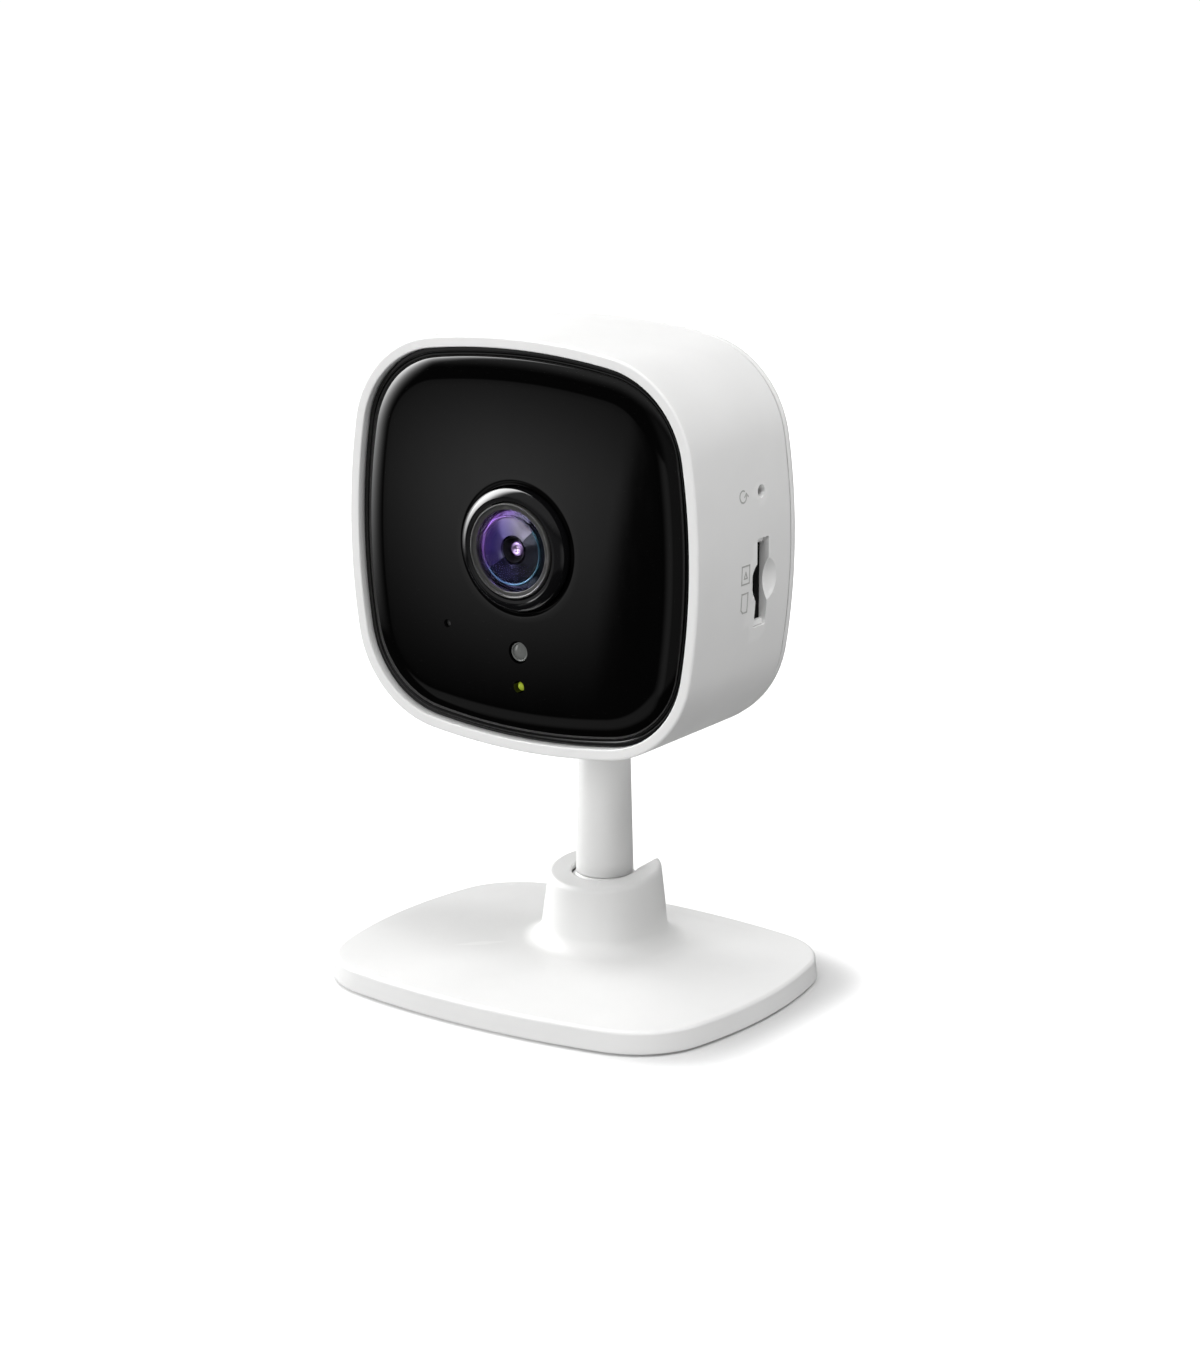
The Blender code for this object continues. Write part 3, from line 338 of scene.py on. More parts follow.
def coated_dish_and_painted_reflections():
    """The lens's coated inner face, coloured by angle round the axis: violet on one side, dark blue
    below, teal at lower right; these stand for the coating's tints and, in part, for painted
    reflections. The grey wedge at upper right is a painted reflection of a softbox, with a sharp
    painted edge; a bright violet band near the rim, light arcs along the bead at the bottom and
    lower right, and a pale spot by the pupil at lower left are painted highlights.
    """
    made, tree, shader = start("coated_dish_and_painted_reflections", 0.1, 0.7)
    radius, turn = polar(tree)
    across = remap(tree, radius, 1.9 * MM, 5.2 * MM, 0.0, 1.0)
    # Violet: the coating's tint, with a bright band near the rim that is a painted reflection.
    violet = ramp(tree, across, [(0.0, (0.17, 0.14, 0.32)), (1.0, (0.12, 0.03, 0.22)),
                                 (0.45, (0.09, 0.065, 0.28)), (0.8, (0.12, 0.055, 0.33)),
                                 (0.88, (0.4, 0.18, 0.62)), (0.95, (0.16, 0.05, 0.3))])
    # Grey: a painted reflection of a softbox, brightest towards the rim.
    grey = ramp(tree, across, [(0.0, (0.1, 0.1, 0.105)), (1.0, (0.03, 0.03, 0.04)),
                               (0.5, (0.22, 0.215, 0.22)), (0.84, (0.32, 0.31, 0.32)),
                               (0.9, (0.07, 0.07, 0.08))])
    # Dark blue: the coating's tint, with a painted highlight along the bead near the rim.
    blue = ramp(tree, across, [(0.0, (0.015, 0.015, 0.035)), (1.0, (0.02, 0.012, 0.05)),
                               (0.5, (0.018, 0.018, 0.07)), (0.84, (0.016, 0.022, 0.07)),
                               (0.9, (0.03, 0.1, 0.16))])
    # Teal: the coating's tint, with a painted highlight along the bead near the rim.
    teal = ramp(tree, across, [(0.0, (0.02, 0.022, 0.02)), (1.0, (0.02, 0.03, 0.03)),
                               (0.6, (0.035, 0.04, 0.036)), (0.84, (0.03, 0.05, 0.045)),
                               (0.9, (0.06, 0.18, 0.2))])
    # A pale spot by the pupil at lower left: a painted highlight.
    painted_glint = ramp(tree, across, [(0.0, (0.5, 0.52, 0.7)), (1.0, (0.07, 0.05, 0.2)),
                                (0.3, (0.07, 0.05, 0.2))])
    # Turns from the lens's left side, round by the bottom.
    around = remap(tree, turn, -0.5, 0.5, 0.0, 1.0)
    tint = mix_colour(tree, wedge(tree, around, -1.0, -0.9, 0.2, 0.36), teal, blue)
    tint = mix_colour(tree, wedge(tree, around, -1.0, -0.9, 0.085, 0.11), tint, violet)
    tint = mix_colour(tree, wedge(tree, around, 0.01, 0.085, 0.1, 0.105), tint, painted_glint)
    # The sharp step paints the straight edge of the softbox's reflection.
    tint = mix_colour(tree, wedge(tree, around, 0.612, 0.616, 2.0, 2.1), tint, grey)
    tint = mix_colour(tree, wedge(tree, around, 0.7, 0.9, 2.0, 2.1), tint, violet)
    streaks = noise(tree, place(tree), 700.0, 3.0)
    tint = mix_colour(tree, remap(tree, streaks, 0.3, 0.7, 0.0, 0.2), tint, (0.03, 0.03, 0.08))
    tree.links.new(tint, shader.inputs["Base Color"])
    tree.links.new(remap(tree, streaks, 0.3, 0.7, 0.07, 0.13), shader.inputs["Roughness"])
    return made


def wedge(tree, value, rise_start, rise_end, fall_start, fall_end):
    """1 between two turns, with a soft step on each side."""
    up = remap(tree, value, rise_start, rise_end, 0.0, 1.0)
    down = remap(tree, value, fall_start, fall_end, 1.0, 0.0)
    return calc(tree, "MULTIPLY", up, down)


def indicator():
    """Status light: a dimly lit yellow-green guide."""
    made, tree, shader = start("status_light_lit", 0.25)
    glow = noise(tree, place(tree), 1500.0, 2.0)
    tint = mix_colour(tree, glow, (0.12, 0.17, 0.01), (0.3, 0.36, 0.03))
    tree.links.new(tint, shader.inputs["Base Color"])
    tree.links.new(tint, shader.inputs["Emission Color"])
    shader.inputs["Emission Strength"].default_value = 0.6
    return made


def window_guide(name, colour):
    """Frosted clear plastic with a little depth."""
    made, tree, shader = start(name, 0.18, Coat_Weight=0.4)
    where = place(tree)
    cloud = noise(tree, where, 900.0, 3.0)
    tree.links.new(mix_colour(tree, cloud, shade(colour, 0.8), shade(colour, 1.15)),
                   shader.inputs["Base Color"])
    tree.links.new(remap(tree, cloud, 0.3, 0.7, 0.12, 0.26), shader.inputs["Roughness"])
    return made


WHITE = (0.80, 0.80, 0.795)
LOOKS = {
    "white_plastic": moulded("white_satin_plastic", WHITE, 0.42, Specular_IOR_Level=0.28),
    "grey_plastic": moulded("grey_moulded_plastic", (0.3, 0.31, 0.32), 0.5, depth=0.008 * MM),
    "black_plastic": moulded("black_matt_plastic", (0.018, 0.018, 0.018), 0.5,
                             depth=0.008 * MM, mottle=0.15, worn=2.0),
    "black_gloss": glossy_black("black_glass_face", (0.001, 0.001, 0.001), 0.06),
    "acetal": moulded("acetal", (0.74, 0.72, 0.66), 0.4, mottle=0.04),
    "rubber": cellular("pad_rubber", (0.03, 0.03, 0.032), 0.78, 2600.0, 0.05 * MM),
    "steel": brushed("rolled_steel", (0.52, 0.53, 0.54), 0.3),
    "copper": coil_wire(),
    "coated_glass": clear_glass("coated_optical_glass", (0.9, 0.88, 1.0), (0.55, 0.4, 1.0)),
    "light_guide": window_guide("frosted_window", (0.14, 0.145, 0.14)),
    "green_light": indicator(),
    "circuit_board": circuit_board(),
    "silicon": wafer(),
    "foam": cellular("open_foam", (0.035, 0.035, 0.035), 0.9, 1500.0, 0.2 * MM),
}

slot_of = {part["node"]: part["material_slot"] for part in frame["record"]["subparts"]}


# ---- Mesh helpers --------------------------------------------------------------------------

def outline(half_w, half_h, side_r, top_r, corner_r, side_steps, corner_steps):
    """Outline of a square with bowed sides, as (point, outward normal) pairs."""
    side_centre = Vector((half_w - side_r, 0.0))
    top_centre = Vector((0.0, half_h - top_r))
    across = top_centre - side_centre
    distance = across.length
    reach_side = side_r - corner_r
    reach_top = top_r - corner_r
    along = (reach_side**2 - reach_top**2 + distance**2) / (2 * distance)
    offset = math.sqrt(reach_side**2 - along**2)
    unit = across / distance
    corner = side_centre + unit * along + Vector((-unit.y, unit.x)) * offset
    first = math.atan2(corner.y, corner.x - side_centre.x)
    last = math.atan2(corner.y - top_centre.y, corner.x)
    quarter = []
    for step in range(side_steps):
        quarter.append((side_centre, side_r, first * step / side_steps))
    for step in range(corner_steps):
        quarter.append((corner, corner_r, first + (last - first) * step / corner_steps))
    for step in range(side_steps):
        quarter.append((top_centre, top_r, last + (math.pi / 2 - last) * step / side_steps))
    points = []
    for centre, radius, angle in quarter:
        normal = Vector((math.cos(angle), math.sin(angle)))
        points.append((centre + normal * radius, normal))
    points.append((Vector((0.0, half_h)), Vector((0.0, 1.0))))
    mirrored = [(Vector((-p.x, p.y)), Vector((-n.x, n.y))) for p, n in reversed(points[:-1])]
    upper = points + mirrored
    lower = [(-p, -n) for p, n in upper[1:-1]]
    return upper + lower


HEAD = outline(HEAD_HALF_W, HEAD_HALF_H, HEAD_SIDE_R, HEAD_TOP_R, HEAD_CORNER_R, 12, 18)
BASE = outline(BASE_HALF_W, BASE_HALF_D, BASE_SIDE_R, BASE_FRONT_R, BASE_CORNER_R, 12, 18)


def head_ring(inset, y, roundness=0.0, radius=LENS_HOLE_R):
    """The head's outline drawn in by inset, at depth y, or a blend of it and a lens circle."""
    ring = []
    for point, normal in HEAD:
        flat = point - normal * inset
        flat = flat.lerp(point.normalized() * radius, roundness)
        ring.append(Vector((flat.x, y, HEAD_Z + flat.y)))
    return ring


def base_ring(inset, z, roundness=0.0, radius=0.0, slope=0.0):
    """The base's outline drawn in by inset, or a blend of it and a circle round the stem."""
    ring = []
    centre = Vector((0.0, PIVOT_Y))
    for point, normal in BASE:
        flat = point - normal * inset
        around = centre + (point - centre).normalized() * radius
        flat = flat.lerp(around, roundness)
        ring.append(Vector((flat.x, flat.y, z + slope * (flat.y - PIVOT_Y))))
    return ring


def arc(centre_r, centre_h, radius, start_angle, end_angle, steps):
    """Points along an arc in a profile; angles in degrees from outward."""
    points = []
    for step in range(steps + 1):
        angle = math.radians(start_angle + (end_angle - start_angle) * step / steps)
        points.append((centre_r + radius * math.cos(angle),
                       centre_h + radius * math.sin(angle)))
    return points


def new_object(name, bm):
    bmesh.ops.recalc_face_normals(bm, faces=bm.faces)
    mesh = bpy.data.meshes.new(name)
    bm.to_mesh(mesh)
    bm.free()
    made = bpy.data.objects.new(name, mesh)
    bpy.context.scene.collection.objects.link(made)
    return made


def skin(bm, pairs):
    """Join each pair of equal loops of vertices with a band of faces."""
    for low, high in pairs:
        for i in range(len(low)):
            j = (i + 1) % len(low)
            bm.faces.new((low[i], low[j], high[j], high[i]))


def loft(name, rings):
    """Skin equal rings in turn, and join the last to the first."""
    bm = bmesh.new()
    loops = [[bm.verts.new(point) for point in ring] for ring in rings]
    skin(bm, [*zip(loops, loops[1:]), (loops[-1], loops[0])])
    return new_object(name, bm)


def turned(name, profile, centre, axis, steps=96):
    """Turn a profile of (radius, height) points about an axis through centre."""
    axis = Vector(axis)
    side = axis.orthogonal().normalized()
    bm = bmesh.new()
    points = [bm.verts.new(centre + side * r + axis * h) for r, h in profile]
    lines = [bm.edges.new(pair) for pair in zip(points, points[1:])]
    if profile[0][0] > 0:
        lines.append(bm.edges.new((points[-1], points[0])))
    bmesh.ops.spin(bm, geom=points + lines, cent=centre, axis=axis, dvec=(0, 0, 0),
                   angle=math.tau, steps=steps, use_merge=True, use_duplicate=False)
    bmesh.ops.remove_doubles(bm, verts=bm.verts, dist=0.0005 * MM)
    return new_object(name, bm)


def rods(name, radius, places, steps=48):
    """Several separate cylinders, each between two points, as one cutting shape."""
    bm = bmesh.new()
    for first, last in places:
        first = Vector(first)
        last = Vector(last)
        turn = (last - first).to_track_quat("Z", "Y").to_matrix().to_4x4()
        turn.translation = (first + last) / 2
        bmesh.ops.create_cone(bm, cap_ends=True, segments=steps, radius1=radius,
                              radius2=radius, depth=(last - first).length, matrix=turn)
    return new_object(name, bm)


def prism(name, low, high, round_axis=None, corner=0.0, segments=6):
    """A box, with the edges that run along one axis rounded."""
    low = Vector(low)
    high = Vector(high)
    bm = bmesh.new()
    bmesh.ops.create_cube(bm, size=1.0)
    size = high - low
    for vert in bm.verts:
        vert.co = low + Vector((size[i] * (vert.co[i] + 0.5) for i in range(3)))
    if corner:
        chosen = [e for e in bm.edges
                  if abs(e.verts[0].co[round_axis] - e.verts[1].co[round_axis]) > 1e-6]
        bmesh.ops.bevel(bm, geom=chosen, offset=corner, segments=segments, affect="EDGES",
                        profile=0.5)
    return new_object(name, bm)


def freeze(made):
    """Keep the result of the piece's modifiers as a plain mesh."""
    graph = bpy.context.evaluated_depsgraph_get()
    mesh = bpy.data.meshes.new_from_object(made.evaluated_get(graph))
    made.modifiers.clear()
    made.data = mesh


def settle(made, tools=(), bevel=0.0, angle=32.0):
    """Cut the tools away, soften the cut edges, and set which edges shade as sharp."""
    for tool in tools:
        modifier = made.modifiers.new("tool", "BOOLEAN")
        modifier.operation = "DIFFERENCE"
        modifier.solver = "EXACT"
        modifier.object = tool
    if bevel:
        modifier = made.modifiers.new("soft_edge", "BEVEL")
        modifier.width = bevel
        modifier.segments = 2
        modifier.limit_method = "ANGLE"
        modifier.angle_limit = math.radians(50.0)
        modifier.use_clamp_overlap = True
        modifier.miter_outer = "MITER_ARC"
    freeze(made)
    for tool in tools:
        bpy.data.objects.remove(tool, do_unlink=True)
    made.data.shade_smooth()
    made.data.set_sharp_from_angle(angle=math.radians(angle))
    if tools:
        modifier = made.modifiers.new("even_shading", "WEIGHTED_NORMAL")
        modifier.keep_sharp = True
        modifier.weight = 80
        freeze(made)
    return made


def dress(made, body, slot, *nodes, look=None):
    """Give a finished piece its material and its body, and hide the CAD nodes that it stands for.
    """
    made.data.materials.clear()
    made.data.materials.append(look or LOOKS[slot])
    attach(made, body)
    if nodes:
        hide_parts(*nodes)


# ---- Base ----------------------------------------------------------------------------------

def make_base():
    """Base moulding: deck, fillet, tapered collar with a sloped top, and the ball's socket."""
    edge_round = 0.6 * MM
    edge_top = 3.75 * MM
    deck_edge = 3.8 * MM
    crown = 4.2 * MM
    fillet_in = 3.2 * MM
    fillet_up = 2.6 * MM
    foot_r = 9.45 * MM
    top_r = 8.6 * MM
    top = 15.05 * MM
    top_round = 0.85 * MM
    mouth_r = 4.95 * MM
    mouth_round = 0.3 * MM
    socket_r = 7.2 * MM
    slope = 0.126
    rings = [base_ring(0.3 * MM, 0.3 * MM), base_ring(0.08 * MM, 0.42 * MM)]
    rings += [base_ring(0.0, 0.6 * MM), base_ring(0.1 * MM, 1.6 * MM)]
    for r, h in arc(0, 3.1 * MM, edge_round, 0, 90, 7):
        rings.append(base_ring(0.25 * MM + edge_round - r, h))
    rings.append(base_ring(1.8 * MM, edge_top))
    for step in range(13):
        part = step / 12
        height = deck_edge + (crown - deck_edge) * math.sin(part * math.pi / 2)
        rings.append(base_ring(3.0 * MM, height, part, foot_r + fillet_in))
    for step in range(1, 11):
        turn = math.radians(9.0 * step)
        rings.append(base_ring(0, crown + fillet_up * (1 - math.cos(turn)), 1.0,
                               foot_r + fillet_in * (1 - math.sin(turn))))
    for step in range(1, 7):
        part = step / 6
        height = crown + fillet_up + (top - top_round - crown - fillet_up) * part
        rings.append(base_ring(0, height, 1.0, foot_r + (top_r - foot_r) * part, slope * part))
    for r, h in arc(top_r - top_round, top - top_round, top_round, 15, 90, 5):
        rings.append(base_ring(0, h, 1.0, r, slope))
    for r, h in arc(mouth_r + 0.35 * MM, top - mouth_round, mouth_round, 90, 170, 4):
        rings.append(base_ring(0, h, 1.0, r, slope))
    mouth = math.degrees(math.acos(mouth_r / socket_r))
    for step in range(15):
        angle = math.radians(mouth + (-17.0 - mouth) * step / 14)
        rings.append(base_ring(0, PIVOT_Z + socket_r * math.sin(angle), 1.0,
                               socket_r * math.cos(angle)))
    rings += [base_ring(0, 6.9 * MM, 1.0, 8.2 * MM), base_ring(0, 2.9 * MM, 1.0, 8.2 * MM),
              base_ring(1.6 * MM, 2.9 * MM), base_ring(1.6 * MM, 0.3 * MM)]
    made = loft("base_moulding", rings)
    dress(settle(made, [notch()], bevel=0.22 * MM), "base", "white_plastic", "base_top")


def notch():
    """Wedge that opens the collar's rear, with rounded lower corners."""
    near = PIVOT_Y + 1.5 * MM
    far = PIVOT_Y + 12.65 * MM
    half = 4.95 * MM
    wide = half + 1.1 * MM
    floor = 4.35 * MM
    bm = bmesh.new()
    corners = [(-half, near), (half, near), (wide, far), (-wide, far)]
    face = bm.faces.new([bm.verts.new((x, y, floor)) for x, y in corners])
    raised = bmesh.ops.extrude_face_region(bm, geom=[face])
    tops = [item for item in raised["geom"] if isinstance(item, bmesh.types.BMVert)]
    bmesh.ops.translate(bm, verts=tops, vec=(0, 0, 16 * MM))
    chosen = [edge for edge in bm.edges
              if all(v.co.z < floor + 0.1 * MM for v in edge.verts)
              and abs(edge.verts[0].co.y - edge.verts[1].co.y) > 1 * MM]
    bmesh.ops.bevel(bm, geom=chosen, offset=2.4 * MM, segments=8, affect="EDGES", profile=0.5)
    return new_object("notch_tool", bm)


def make_ball_and_stem():
    foot = Vector((0, PIVOT_Y, PIVOT_Z))
    flat = 5.42 * MM
    rise = math.degrees(math.asin(flat / BALL_R))
    flat += 0.01 * MM
    profile = [(0, -BALL_R), *arc(0, 0, BALL_R, -84, rise - 3, 30), (4.25 * MM, flat),
               (2.4 * MM, flat), (2.4 * MM, 14.7 * MM), (1.2 * MM, 14.7 * MM),
               (1.2 * MM, 8.5 * MM), (0, 8.5 * MM)]
    made = turned("tilt_ball", profile, foot, UPWARD, 72)
    dress(settle(made), "ball", "white_plastic", "ball")
    low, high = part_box("stem")
    underside = 37.9 * MM
    profile = [
        (2.7 * MM, low.z), (4.1 * MM, low.z), (4.27 * MM, low.z + 0.06 * MM),
        (4.33 * MM, low.z + 0.25 * MM), (4.3 * MM, low.z + 1.2 * MM),
        (4.12 * MM, low.z + 8 * MM), (3.93 * MM, low.z + 15 * MM),
        (3.76 * MM, underside - 0.3 * MM), (3.6 * MM, underside), (2.9 * MM, underside),
        (2.9 * MM, high.z - 1.2 * MM), (3.6 * MM, high.z - 1.2 * MM), (3.6 * MM, high.z),
        (2.15 * MM, high.z), (2.15 * MM, 25.5 * MM), (1.2 * MM, 25.5 * MM),
        (1.2 * MM, 24.0 * MM), (2.7 * MM, 24.0 * MM)]
    made = turned("stem_tube", profile, Vector((0, PIVOT_Y, 0)), UPWARD, 72)
    dress(settle(made), "head", "white_plastic", "stem")


# ---- Head ----------------------------------------------------------------------------------

def make_shell():
    """White sleeve round the head, open at the front and the rear."""
    front = -14.0 * MM
    rear = 10.5 * MM
    wall = 1.6 * MM
    edge = 0.38 * MM
    inner = 0.22 * MM
    rear_edge = 0.25 * MM
    rings = []
    for r, h in arc(edge, edge, edge, -90, -180, 6):
        rings.append(head_ring(r, front + edge + (h - edge)))
    for step in range(1, 15):
        rings.append(head_ring(0, front + edge + (rear - rear_edge - front - edge) * step / 14))
    for r, h in arc(rear_edge, 0, rear_edge, 180, 90, 4)[1:]:
        rings.append(head_ring(r, rear - rear_edge + h))
    rings.append(head_ring(wall, rear))
    for step in range(8):
        rings.append(head_ring(wall, rear - 0.8 * MM - (rear - front - 1.6 * MM) * step / 7))
    for r, h in arc(wall - inner, inner, inner, 0, -90, 4):
        rings.append(head_ring(r, front + h))
    made = loft("head_sleeve", rings)
    slot = prism("slot_tool", (26 * MM, PORT_Y - 1.55 * MM, SLOT_Z - 6.5 * MM),
                 (33 * MM, PORT_Y + 1.55 * MM, SLOT_Z + 6.5 * MM), 0, 0.25 * MM, 3)
    tools = [
        rods("neck_tool", NECK_R, [((0, PIVOT_Y, 34 * MM), (0, PIVOT_Y, 43 * MM))]),
        rods("reset_tool", 0.95 * MM,
             [((26 * MM, PORT_Y, RESET_Z), (33 * MM, PORT_Y, RESET_Z))], 32),
        slot,
        thumb(),
    ]
    dress(settle(made, tools, bevel=0.1 * MM), "head", "white_plastic", "shell")


def thumb():
    """Shallow ball-shaped dimple across the card slot."""
    width = 3.5 * MM
    depth = 1.2 * MM
    radius = (width**2 + depth**2) / (2 * depth)
    bm = bmesh.new()
    bmesh.ops.create_icosphere(bm, subdivisions=5, radius=radius)
    bmesh.ops.translate(bm, verts=bm.verts,
                        vec=(HEAD_HALF_W - depth + radius, PORT_Y + 0.4 * MM, SLOT_Z))
    return new_object("thumb_tool", bm)


def make_glass():
    """Black face: a flat brim inside the sleeve, and a pillowed middle round the lens."""
    outer = 1.75 * MM
    brim = -12.7 * MM
    shoulder = 0.98 * MM
    dome = 0.72 * MM
    dome_r = 31 * MM
    roll = 3.5 * MM
    foot = 2.8 * MM
    lip_r = LENS_HOLE_R + 0.9 * MM
    lip_bend = 2.2 * MM

    def pillow(inset, rise, roundness=0.0, radius=0.0, sink=0.0):
        ring = head_ring(inset, 0.0, roundness, radius)
        for point in ring:
            away = (point.x**2 + (point.z - HEAD_Z)**2) / dome_r**2
            point.y = brim - shoulder * rise - dome * max(0.0, 1 - away) + sink
        return ring

    rings = [head_ring(outer, brim), head_ring(2.2 * MM, brim),
             head_ring(2.3 * MM, brim - 0.1 * MM), head_ring(2.42 * MM, brim - 0.13 * MM),
             head_ring(2.54 * MM, brim - 0.05 * MM), head_ring(2.6 * MM, brim),
             head_ring(foot - 0.02 * MM, brim)]
    for step in range(1, 20):
        angle = math.radians(4.7 * step)
        inset = foot + roll * (1 - math.cos(angle))
        rings.append(pillow(inset, math.sin(angle)))
    for step in range(1, 19):
        rings.append(pillow(inset, 1.0, step / 18, lip_r))
    for step in range(1, 7):
        angle = math.radians(3.5 * step)
        radius = lip_r - lip_bend * math.sin(angle)
        rings.append(pillow(0, 1.0, 1.0, radius, lip_bend * (1 - math.cos(angle))))
    bottom = lip_bend * (1 - math.cos(angle))
    for step in range(1, 5):
        rings.append(pillow(0, 1.0, 1.0, radius - 0.025 * MM * step,
                            bottom + 0.015 * MM * step**2))
    rings += [pillow(0, 1.0, 1.0, radius - 0.12 * MM, 1.2 * MM),
              head_ring(6.5 * MM, -12.6 * MM, 0.2), head_ring(4.1 * MM, brim + 0.3 * MM),
              head_ring(4.1 * MM, brim + 1.9 * MM), head_ring(outer, brim + 1.9 * MM)]
    made = loft("face_glass", rings)
    before, behind, shallow = -17 * MM, -10 * MM, -12.2 * MM
    tools = [
        rods("window_tool", 1.65 * MM, [((0, before, WINDOW_Z), (0, behind, WINDOW_Z))]),
        rods("led_tool", 0.9 * MM, [((0, before, LIGHT_Z), (0, behind, LIGHT_Z))]),
        rods("mic_tool", 0.6 * MM, [((MIC_X, before, MIC_Z), (MIC_X, shallow, MIC_Z))]),
    ]
    dress(settle(made, tools), "head", "black_gloss", "front_glass")


def make_lens():
    """Raised ring, retaining ring, front element, coated cone, iris and rear element."""
    centre = Vector((0, 0, HEAD_Z))
    crest_r = 7.75 * MM
    bend = 2.7 * MM
    swell_start, swell_end = 42, 70
    swell = arc(crest_r - bend * math.cos(math.radians(swell_end)),
                16.2 * MM - bend * math.sin(math.radians(swell_end)), bend, swell_start,
                swell_end, 14)
    round_r = 0.22 * MM
    turned_in = arc(swell[0][0] - round_r * math.cos(math.radians(swell_start)),
                    swell[0][1] - round_r * math.sin(math.radians(swell_start)), round_r, 0,
                    38, 7)
    profile = [(7.05 * MM, 10.4 * MM), (turned_in[0][0], 10.4 * MM), *turned_in, *swell,
               (7.7 * MM, 16.12 * MM), (7.62 * MM, 16.0 * MM), (7.2 * MM, 15.98 * MM),
               (7.05 * MM, 15.85 * MM)]
    made = turned("lens_ring", profile, centre, FORWARD, 128)
    dress(settle(made, angle=24), "head", "black_gloss", "lens_bezel", look=RING_GLOSS)
    profile = [(5.95 * MM, 15.2 * MM), (5.95 * MM, 15.95 * MM), (6.05 * MM, 16.04 * MM),
               (6.52 * MM, 16.08 * MM), (6.6 * MM, 16.22 * MM), (6.7 * MM, 16.3 * MM),
               (6.8 * MM, 16.27 * MM), (6.86 * MM, 16.15 * MM), (6.9 * MM, 14.2 * MM),
               (6.5 * MM, 14.2 * MM), (6.5 * MM, 15.2 * MM)]
    made = turned("lens_retaining_ring", profile, centre, FORWARD, 128)
    dress(settle(made, angle=20), "head", "black_plastic", "lens_retainer", look=RING_MATT)
    dome_r = 17.9 * MM
    apex = 17.0 * MM
    thick = 0.35 * MM
    rim = math.degrees(math.acos(5.93 * MM / dome_r))
    dome = arc(0, apex - dome_r, dome_r, rim, 89.5, 18)
    under = arc(0, apex - thick - dome_r, dome_r, 89.5, rim, 18)
    profile = [(0, apex - thick), *under, *dome, (0, apex)]
    made = turned("lens_front_element", profile, centre, FORWARD, 128)
    dress(settle(made), "head", "coated_glass", "lens_glass")
    bead = arc(4.9 * MM, 15.66 * MM, 0.2 * MM, -10, 200, 12)
    cone = [(6.9 * MM, 5.0 * MM), (6.9 * MM, 14.0 * MM), (6.4 * MM, 14.2 * MM),
            (6.3 * MM, 15.1 * MM), (5.6 * MM, 15.35 * MM), (5.1 * MM, 15.5 * MM), *bead,
            (4.66 * MM, 15.62 * MM), (3.4 * MM, 15.475 * MM), (2.12 * MM, 15.295 * MM),
            (2.02 * MM, 15.1 * MM), (1.95 * MM, 14.0 * MM), (4.6 * MM, 11.0 * MM),
            (4.6 * MM, 5.0 * MM)]
    made = turned("lens_inner_cone", cone, centre, FORWARD, 128)
    dress(settle(made), "head", "black_plastic", "lens_barrel", look=coated_dish_and_painted_reflections())
    iris = [(1.2 * MM, 10.6 * MM), (4.3 * MM, 10.6 * MM), (4.3 * MM, 10.8 * MM),
            (1.93 * MM, 13.4 * MM), (1.93 * MM, 15.1 * MM), (1.8 * MM, 15.15 * MM),
            (1.5 * MM, 14.85 * MM), (1.2 * MM, 14.5 * MM)]
    made = turned("lens_iris_ring", iris, centre, FORWARD)
    dress(settle(made), "head", "black_plastic", "lens_iris", look=INNER_BLACK)
    pupil = [(0, 7.0 * MM), (3.0 * MM, 7.3 * MM), (4.3 * MM, 7.9 * MM), (4.3 * MM, 8.8 * MM),
             (1.15 * MM, 9.6 * MM), (1.15 * MM, 14.0 * MM),
             *arc(0.75 * MM, 14.05 * MM, 0.4 * MM, 5, 130, 12), (0.3 * MM, 14.2 * MM),
             (0, 14.15 * MM)]
    made = turned("lens_pupil_element", pupil, centre, FORWARD)
    dress(settle(made), "head", "coated_glass", "lens_rear_element", look=PUPIL)
    made = arc_strip("lens_ring_step", crest_r, 8.6 * MM, 15.2 * MM, 16.3 * MM, -97, -52, 24)
    dress(settle(made, bevel=0.12 * MM), "head", "black_gloss", look=RING_GLOSS)


def arc_strip(name, inner_r, outer_r, low, high, start, end, steps):
    """Part of a flat ring about the lens axis, lower towards its start."""
    middle = Vector((0, 0, HEAD_Z))
    bm = bmesh.new()
    loops = []
    for step in range(steps + 1):
        angle = math.radians(start + (end - start) * step / steps)
        away = Vector((math.cos(angle), 0, math.sin(angle)))
        crest = high - 0.45 * MM * max(0.0, 1 - 2.5 * step / steps)
        corners = [(inner_r, low), (outer_r, low), (outer_r, crest - 0.35 * MM),
                   (inner_r, crest)]
        loops.append([bm.verts.new(middle + away * r + Vector((0, -h, 0))) for r, h in corners])
    skin(bm, zip(loops, loops[1:]))
    bm.faces.new(loops[0])
    bm.faces.new(loops[-1])
    return new_object(name, bm)


